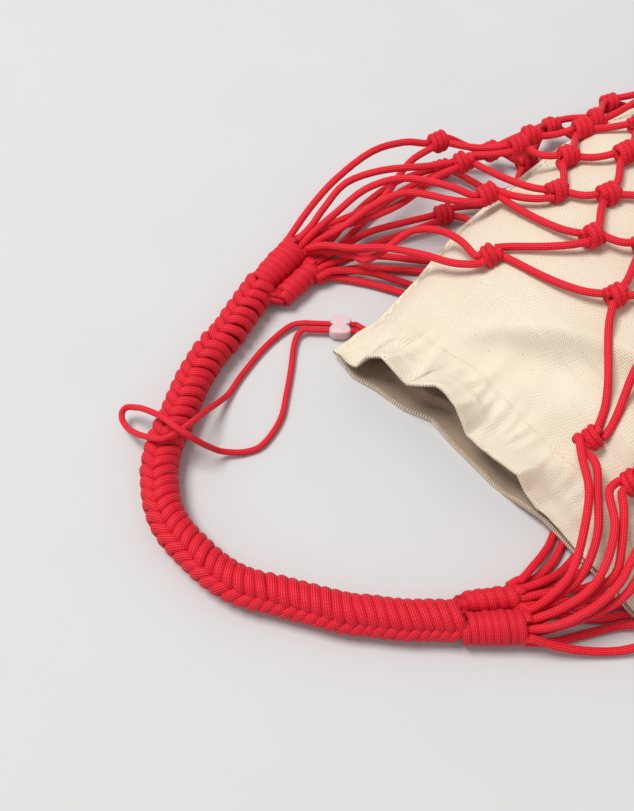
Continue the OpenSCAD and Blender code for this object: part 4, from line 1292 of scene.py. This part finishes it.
# The leaders of each wrap, two in a column: row in the wrap's end, side of the knot, route.
LEADERS = (
    (
        (1, 1, ((-20, 144, 21), (0, 151, 28), (25, 156, 33), (45, 155, 32))),
        (-1, -1, ((-22, 137, 11), (-6, 134, 14), (10, 131, 19), (20, 132, 21), (42, 144, 26.5))),
        (1, 1, ((-24, 135, 17), (-13, 140, 22), (3, 145, 29), (23, 140, 34), (45, 130, 36))),
        (-1, -1, ((-24, 131, 12.5), (-11, 126, 19), (8, 119, 26), (25, 117, 31), (44, 121, 35))),
        (1, 1, ((-24, 130, 18.5), (-11, 131, 25), (8, 132, 34), (27, 126, 39), (43, 109, 42.5))),
        (-1, -1, ((-24, 126, 14.5), (-11, 122, 23), (9, 121, 33), (26, 116, 38), (42, 98, 41.5))),
        (1, -1, (
            (-31, 122.6, 15.8), (-24, 117, 20), (-14, 108, 22), (-1, 96, 28), (12, 79, 34), (20, 63, 40),
            (27, 54.5, 44),
        )),
        (-1, 1, (
            (-30, 123.2, 10.4), (-26, 120.3, 13.5), (-14, 110, 15.5), (-9, 100, 17.5), (2, 99, 21),
            (18, 99, 28), (28, 88, 35), (31, 72, 42),
        )),
    ),
    (
        (1, 1, ((-29, 121.6, 6.3), (-22, 125, 6.2), (-10, 131, 7.5), (14, 143, 7.5), (40, 151, 6.5))),
        (-1, -1, ((-27, 120.3, 2.1), (-16, 124, 2.2), (-8, 127, 3), (16, 138, 3), (40, 145, 4))),
        (1, 1, ((-22, 119.5, 6.5), (-8, 122, 7), (8, 125, 6), (30, 122, 6))),
        (-1, -1, ((-22, 117, 2.4), (-6, 117.5, 3), (8, 118, 3), (30, 115.5, 5))),
        (1, 1, ((-22, 113.5, 7.5), (-8, 112, 7), (8, 105, 6), (30, 92, 4))),
        (-1, -1, ((-22, 111.5, 2.4), (-8, 107, 2.4), (8, 98, 2.4), (30, 85.5, 2.6))),
        (1, 1, ((-20, 107, 7.5), (-6, 99, 6.5), (8, 87, 3.6), (26, 67, 2.4))),
        (-1, -1, ((-20, 105, 2.6), (-7, 94, 2.3), (6, 80, 2.2), (24, 60, 2.2))),
    ),
    (
        (1, 1, (
            (-27, -109, 20), (-16, -106, 28), (-4, -95, 35), (8, -80, 41), (13, -66, 44.5), (17, -56.5, 46),
        )),
        (-1, -1, (
            (-34, -109.2, 9.6), (-28, -109, 14.4), (-13, -109, 24), (2, -98, 32.5), (12, -82, 38.5),
            (18, -70, 42.5),
        )),
        (1, 1, ((-28, -116, 20), (-15, -117, 29), (-4, -112, 36), (8, -100, 41), (14, -86, 43.5))),
        (-1, -1, ((-27, -115, 13.5), (-14, -117, 21.5), (0, -116, 30), (9, -106, 36.5), (17, -94.5, 40))),
        (1, 1, ((-30, -121.5, 18), (-15, -123.5, 26), (-2, -121, 32), (8, -115, 35), (17, -109.5, 35.5))),
        (-1, -1, ((-29, -120.5, 11.5), (-14, -124.5, 19), (-1, -125.5, 26), (9, -121, 31), (17, -115, 33))),
        (-1, 1, ((-31, -124, 3.6), (-16, -127, 2.6), (0, -131, 3), (12, -137, 9), (20, -132, 18))),
        (1, -1, ((-32, -128, 7.5), (-18, -136, 4), (-4, -142, 4), (10, -144.5, 9.5), (21, -139, 20))),
    ),
    (
        (1, 1, ((-23, -90, 7.5), (-12, -85, 4.2), (-4, -80, 2.2), (9, -69, 2.2), (27, -54.5, 2.3))),
        (-1, -1, ((-22, -93.5, 2.6), (-12, -91, 2.2), (-4, -86.5, 2.2), (8, -77, 2.2), (26, -61.5, 2.3))),
        (1, 1, ((-22, -98, 8), (-12, -97, 4.5), (-4, -94.5, 2.2), (8, -90, 2.2), (26, -85.5, 2.3))),
        (-1, -1, ((-23, -99, 2.8), (-12, -101, 2.2), (-3, -101, 2.2), (8, -98, 2.2), (26, -91.5, 2.3))),
        (1, 1, ((-24, -103.5, 8.5), (-13, -106, 5.5), (-4, -108, 2.2), (8, -109, 2.2), (27, -111, 2.3))),
        (-1, -1, ((-25, -104.5, 3), (-14, -110, 2.2), (-4, -114.5, 2.2), (8, -116, 2.2), (27, -117, 2.3))),
        (1, 1, (
            (-31, -105.7, 6.5), (-25, -109.5, 6.4), (-14, -115.5, 6), (-5, -119.5, 3.2), (6, -122.5, 2.2),
            (18, -129, 2.2), (30, -136, 2.8),
        )),
        (-1, -1, (
            (-28, -109.5, 2.8), (-15, -119, 2.4), (-5, -124.5, 2.2), (6, -128, 2.2), (17, -135, 2.2),
            (30, -142.5, 2.8),
        )),
    ),
)


@dataclass
class Net:
    """The knotted net round the pouch, and the leaders that hang it from the handle.

    Args:
        pouch: The pouch in the net.
        cord: The cord's diameter.
        pitch: The distance between two knots of a row.
        knot: Diameter of a knot.
        closing_knot: Diameter of a knot that closes the net.
        cord_start: How far from a knot's middle its cords start.
        last_row: The last row before the closing knots.
        side_column: The column of the side knots, which belong to both layers.
        side_gap: How far the side knots stand off the pouch, and side_z their height.
        closing_gap: How far the closing knots stand off the pouch, and closing_z their height.
        slack: How far a cord of the upper layer droops, and droop the way it does.
        clearance: The gap between a cord and the canvas under it.
        knot_size: The size of a knot against its pattern, and knot_cord its cord's thickness.
        leader_gap: The gap between two leaders as they leave a wrap.
        rng: Where the small differences come from.
    """

    pouch: Pouch
    cord: float = 4.0
    pitch: float = 37.0
    knot: float = 12.0
    closing_knot: float = 14.0
    cord_start: float = 3.8
    last_row: int = 9
    side_column: int = 4
    side_gap: float = 10.0
    side_z: float = 14.0
    closing_gap: float = 9.0
    closing_z: float = 17.0
    slack: float = 4.5
    droop: tuple = (0.93, 0.36, 0.0)
    clearance: float = 1.2
    knot_size: float = 1.08
    knot_cord: tuple = (3.5, 3.7)
    leader_gap: float = 0.4
    rng: np.random.Generator = field(default_factory=lambda: np.random.default_rng(NET_SEED))

    def __post_init__(self) -> None:
        self.offset = self.cord / 2 + 0.6
        self.lift = self.knot / 2 + 0.3

    def columns(self, r: int) -> list[float]:
        """The columns of a row, from the far side to the near one."""
        return list(np.arange(4, -5, -1.0)) if r % 2 else list(np.arange(3.5, -4, -1.0))

    def spot(self, p) -> np.ndarray:
        """A knot's middle from a place on the pouch, or from a point off it."""
        return np.array(p, float) if len(p) == 3 else self.pouch.over(p[0], p[1], self.lift)

    def upper(self, r: int, i: int) -> np.ndarray:
        """The middle of a knot of the upper layer."""
        if r < len(UPPER_ROWS):
            return self.spot(UPPER_ROWS[r][i])
        c = self.columns(r)[i]
        y = math.copysign(float(lookup(abs(c) * self.pitch, OVER_TOP)), c) if c else 0.0
        if abs(c) == self.side_column:
            side = math.copysign(self.pouch.width / 2 + self.side_gap, c)
            return np.array([float(lookup(side, ROW_X[r])), side, self.side_z])
        return self.pouch.over(float(lookup(y, ROW_X[r])), y, self.lift)

    def lower(self, r: int, i: int) -> np.ndarray:
        """The middle of a knot of the lower layer. A side knot belongs to both layers."""
        if r == 0:
            return np.array([*LOWER_A[i], self.knot / 2])
        c = self.columns(r)[i]
        if abs(c) == self.side_column:
            return self.upper(r, i)
        return np.array([float(lookup(c * self.pitch, ROW_X[r])), c * self.pitch, self.knot / 2])

    def at(self, layer: str, r: int, i: int) -> np.ndarray:
        """The middle of any knot."""
        if r > self.last_row:
            return np.array([self.pouch.reach + self.closing_gap, CLOSING_Y[i], self.closing_z])
        return self.upper(r, i) if layer == "upper" else self.lower(r, i)

    def port(self, r: int, i: int, side: int, layer: str, end: int) -> np.ndarray:
        """Where a cord enters a knot, from the knot's middle."""
        on_side = r % 2 == 1 and i in (0, len(self.columns(r)) - 1)
        level = 1 if layer == "upper" else -1
        across = 0 if on_side else side * self.offset
        rise = level * self.offset if on_side or r > self.last_row else 0
        return np.array([end * self.cord_start, across, rise])

    def cord_path(self, a: np.ndarray, b: np.ndarray, bowed: bool) -> np.ndarray:
        """A net cord, with the slight bow of a soft cord, clear of the canvas."""
        t = np.linspace(0, 1, 15)
        ease = smooth(0, 1, t) * 0.55 + 0.45 * t
        p = np.stack([mix(a[0], b[0], t), mix(a[1], b[1], ease), mix(a[2], b[2], ease)], -1)
        bow = np.sin(np.pi * t)[:, None]
        side = unit(np.cross(b - a, UP))
        p = p + side * bow * self.rng.uniform(-1.0, 1.0) + UP * bow * self.rng.uniform(-0.2, 0.35)
        drop = self.slack * max(0.0, float(-unit(b - a)[1])) * min(1.0, float(np.linalg.norm(b - a)) / 30)
        p = p - np.array(self.droop) * bow * drop * (a[2] > 20)
        if bowed:
            s = self.pouch.station(p[:, 0], p[:, 1])
            v = self.pouch.across(s, p[:, 1])
            clear = self.pouch.front(s, v)[:, 2] + self.cord / 2 + self.clearance
            inside = (v > 0.01) & (v < 0.99) & (t > 0) & (t < 1)
            p[:, 2] = np.where(inside, np.maximum(p[:, 2], clear), p[:, 2])
            p = curve(evenly(p, 6), 3)
        return p

    def cords_to(self, r: int) -> list[Strand]:
        """All the cords that end at a row."""
        places = range(len(CLOSING_Y) if r > self.last_row else len(self.columns(r)))
        out = []
        for layer in LAYERS:
            for i in range(len(self.columns(r - 1))):
                for side, j in zip((1, -1), (i - 1, i) if (r - 1) % 2 else (i, i + 1)):
                    if j not in places:
                        continue
                    a = self.at(layer, r - 1, i) + self.port(r - 1, i, side, layer, 1)
                    b = self.at(layer, r, j) + self.port(r, j, -side, layer, -1)
                    out.append(Strand(self.cord_path(a, b, r == 1 and layer == "upper")))
        return out

    def knot_strands(self, size: float) -> list[Strand]:
        """The two cords of an overhand knot, tied tight, along X.

        Each enters at one end inside the other's turns, climbs out, winds back over itself and
        tucks in again before it leaves.

        Args:
            size: The knot's size against the usual one.

        Returns:
            The two strands.
        """
        t = np.linspace(0, 1, 64)
        rise = smooth(0.12, 0.30, t) * (1 - smooth(0.72, 0.90, t))
        radius = mix(1.75, 4.1, rise)
        forward = -5.2 + 7.0 * smooth(0.0, 0.24, t) - 5.0 * smooth(0.24, 0.78, t)
        forward = forward + 8.4 * smooth(0.80, 1.0, t)
        out = []
        for which in (0, 1):
            angle = 2 * np.pi * (0.08 + 1.62 * smooth(0.20, 0.80, t)) + 0.25 * which
            angle = angle + mix(np.pi * which, 0.0, rise)
            x = forward + (1.35 if which else -1.35) * rise
            points = np.stack([x, radius * np.cos(angle), radius * np.sin(angle)], -1)
            out.append(Strand(points * size, unit(points * [0, 1, 1])))
        return out

    def prototype(self, shop: Workshop, name: str, size: float):
        """A knot at the origin that the copies are made of."""
        return shop.cords(name, self.knot_strands(size), NET_FINISH, *self.knot_cord, sides=12)

    def pitch_of(self, layer: str, r: int, i: int) -> float:
        """How a knot tilts with the canvas under it, in radians."""
        if layer == "lower" or r > self.last_row:
            return 0.0
        p = self.upper(r, i)
        if abs(p[1]) > self.pouch.width / 2:
            return 0.0
        ahead, behind = (float(self.pouch.front(p[0] + d, 0.5)[2]) for d in (4, -4))
        return -math.atan((ahead - behind) / 8)

    def knots(self, shop: Workshop) -> None:
        """Makes every knot of the net from two prototypes."""
        usual = self.prototype(shop, "knot_pattern", self.knot_size)
        large = self.prototype(shop, "closing_knot_pattern", self.closing_knot / self.knot)
        turn = self.rng.uniform
        places, turns, nodes = [], [], []
        for r in range(self.last_row + 1):
            for layer in LAYERS:
                nodes.append(f"net_knots_{layer}_{ROW_NAMES[r]}")
                skip = 1 if r % 2 and layer == "lower" else 0
                for i in range(skip, len(self.columns(r)) - skip):
                    places.append(self.at(layer, r, i))
                    turns.append((turn(-math.pi, math.pi), self.pitch_of(layer, r, i), turn(-0.1, 0.1)))
        sizes = self.rng.uniform(0.96, 1.02, (len(places), 1)) * np.ones((1, 3))
        piece = shop.copies("net_knots", usual, places, turns, sizes, NET_FINISH)
        settle(piece, Body.BAG, Slot.NET_CORD, *nodes)
        spots = [self.at("upper", self.last_row + 1, i) for i in range(len(CLOSING_Y))]
        turns = [(turn(-math.pi, math.pi), 0.0, 0.0) for _ in spots]
        last = shop.copies("closing_knots", large, spots, turns, np.ones((len(spots), 3)), NET_FINISH)
        settle(last, Body.BAG, Slot.NET_CORD, "net_closing_knots")
        for pattern in (usual, large):
            bpy.data.objects.remove(pattern)

    def leader_path(self, wrap: int, k: int) -> np.ndarray:
        """The route of one leader of a wrap, from the wrap to its knot."""
        row, side, points = LEADERS[wrap][k]
        column = k // 2
        w = WRAPS[wrap]
        start, stop = np.array(w.start), np.array(w.stop)
        axis = unit(stop - start)
        out = -unit(np.cross(axis, UP))
        across = (1.5 - column) * (self.cord + self.leader_gap) - math.copysign(w.shift, w.start[1])
        begin = stop + axis * 0.3 + out * across
        begin = begin + UP * (row * (self.cord / 2 + 0.3) - 0.75 * w.shift)
        knot = self.at(LAYERS[wrap % 2], 0, column + 4 * (wrap // 2))
        end = knot + np.array([-self.cord_start, side * self.offset, 0])
        inside = stop - axis * 5 + (begin - stop) * 0.7
        return curve([inside, begin, begin + axis * 1.5, *points, end - [4, 0, 0], end], 4)

    def build(self, shop: Workshop) -> None:
        """Makes the cords, the knots and the leaders."""
        for r in range(1, self.last_row + 2):
            name = ROW_NAMES[r]
            nodes = [f"net_cords_to_b_{layer}" for layer in LAYERS] if r == 1 else ["net_cords_to_" + name]
            piece = shop.cords("cords_to_" + name, self.cords_to(r), NET_FINISH, self.cord, sides=12)
            settle(piece, Body.BAG, Slot.NET_CORD, *nodes)
        self.knots(shop)
        for wrap, w in enumerate(WRAPS):
            strands = [Strand(self.leader_path(wrap, k)) for k in range(len(LEADERS[wrap]))]
            piece = shop.cords("leader_cords_" + w.name, strands, NET_FINISH, self.cord, sides=14)
            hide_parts("leaders_" + w.name)
            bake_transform(piece)


# ------------------------------------------------------------------ the set

SQUARE = ((-1, -1), (1, -1), (1, 1), (-1, 1))


@dataclass(frozen=True)
class Studio:
    """The camera, the light and the floor.

    Args:
        camera: Where the camera stands, in metres.
        target: What it looks at, in metres.
        lens: Its lens, in millimetres, on a frame 36 mm long.
        key: The strength of the large soft light, in watts.
        key_place: Where that light hangs, in metres.
        key_size: The side of that light, in metres.
        key_colour: Its colour.
        fill: The strength of the white surroundings.
        backdrop: How bright the surroundings are where they are seen.
        floor_half: Half the side of the floor, in metres.
        floor_level: The height of the floor, in metres.
        floor_colours: The two colours that the floor drifts between.
    """

    camera: tuple = (-0.2085, -0.2348, 0.4919)
    target: tuple = (-0.0690, 0.0391, 0.0)
    lens: float = 50.0
    key: float = 120.0
    key_place: tuple = (-1.15, 0.95, 3.5)
    key_size: float = 1.5
    key_colour: str = "#fffdfa"
    fill: float = 0.52
    backdrop: float = 0.9
    floor_half: float = 6.0
    floor_level: float = -0.0004
    floor_colours: tuple = ("#cdcecf", "#cbcccd")

    def aim(self, name: str, data, place):
        """Puts a camera or a lamp at a place and turns it to the bag."""
        thing = new_object(name, data)
        thing.location = place
        thing.rotation_euler = (Vector(self.target) - Vector(place)).to_track_quat("-Z", "Y").to_euler()
        return thing

    def build_camera(self) -> None:
        """Places the camera."""
        data = bpy.data.cameras.new("camera")
        data.lens, data.sensor_width, data.sensor_fit = self.lens, 36.0, "AUTO"
        data.clip_start = 0.01
        bpy.context.scene.camera = self.aim("camera", data, self.camera)

    def build_key(self) -> None:
        """Hangs the one square soft light."""
        data = bpy.data.lights.new("key", "AREA")
        data.size, data.energy, data.color = self.key_size, self.key, linear(self.key_colour)[:3]
        self.aim("key", data, self.key_place)

    def build_floor(self) -> None:
        """Lays the plain pale floor."""
        mesh = bpy.data.meshes.new("floor")
        corners = [(x * self.floor_half, y * self.floor_half, self.floor_level) for x, y in SQUARE]
        mesh.from_pydata(corners, [], [(0, 1, 2, 3)])
        s = Shading("floor_paper")
        mesh.materials.append(s.surface(
            Base_Color=s.blend(s.span(s.noise(14, 2), 0.3, 0.7), *self.floor_colours),
            Roughness=0.85,
            Specular_IOR_Level=0.15,
            Normal=s.bump(s.noise(700, 2), 0.00002, 0.2),
        ))
        new_object("floor", mesh)

    def build_world(self) -> None:
        """A white surrounding, seen plain by the camera and softer as light."""
        world = bpy.data.worlds.new("surroundings")
        bpy.context.scene.world = world
        world.use_nodes = True
        nodes = Nodes(world.node_tree)
        nodes.tree.nodes.clear()
        path = nodes.add("ShaderNodeLightPath").outputs
        seen = path["Is Camera Ray"]
        for name in ("Is Glossy Ray", "Is Transmission Ray"):
            seen = nodes.math("MAXIMUM", seen, path[name])
        light, plain = (
            nodes.out("ShaderNodeBackground", {"Color": (1, 1, 1, 1), "Strength": strength})
            for strength in (self.fill, self.backdrop)
        )
        both = nodes.out("ShaderNodeMixShader", {0: seen, 1: light, 2: plain})
        nodes.add("ShaderNodeOutputWorld", {"Surface": both})

    def build(self) -> None:
        """Lights the set."""
        bpy.context.scene.view_settings.view_transform = "Standard"
        self.build_floor()
        self.build_world()
        self.build_key()


def main() -> None:
    """Builds the whole scene."""
    logging.basicConfig(level=logging.INFO, format="%(name)s: %(message)s")
    studio = Studio()
    studio.build_camera()
    shop = Workshop()
    pouch = Pouch()
    for part in (Drawstring(pouch), Net(pouch), Handle(), pouch):
        part.build(shop)
        LOG.info("built %s", type(part).__name__)
    studio.build()
    LOG.info("done")


if __name__ == "__main__":
    main()
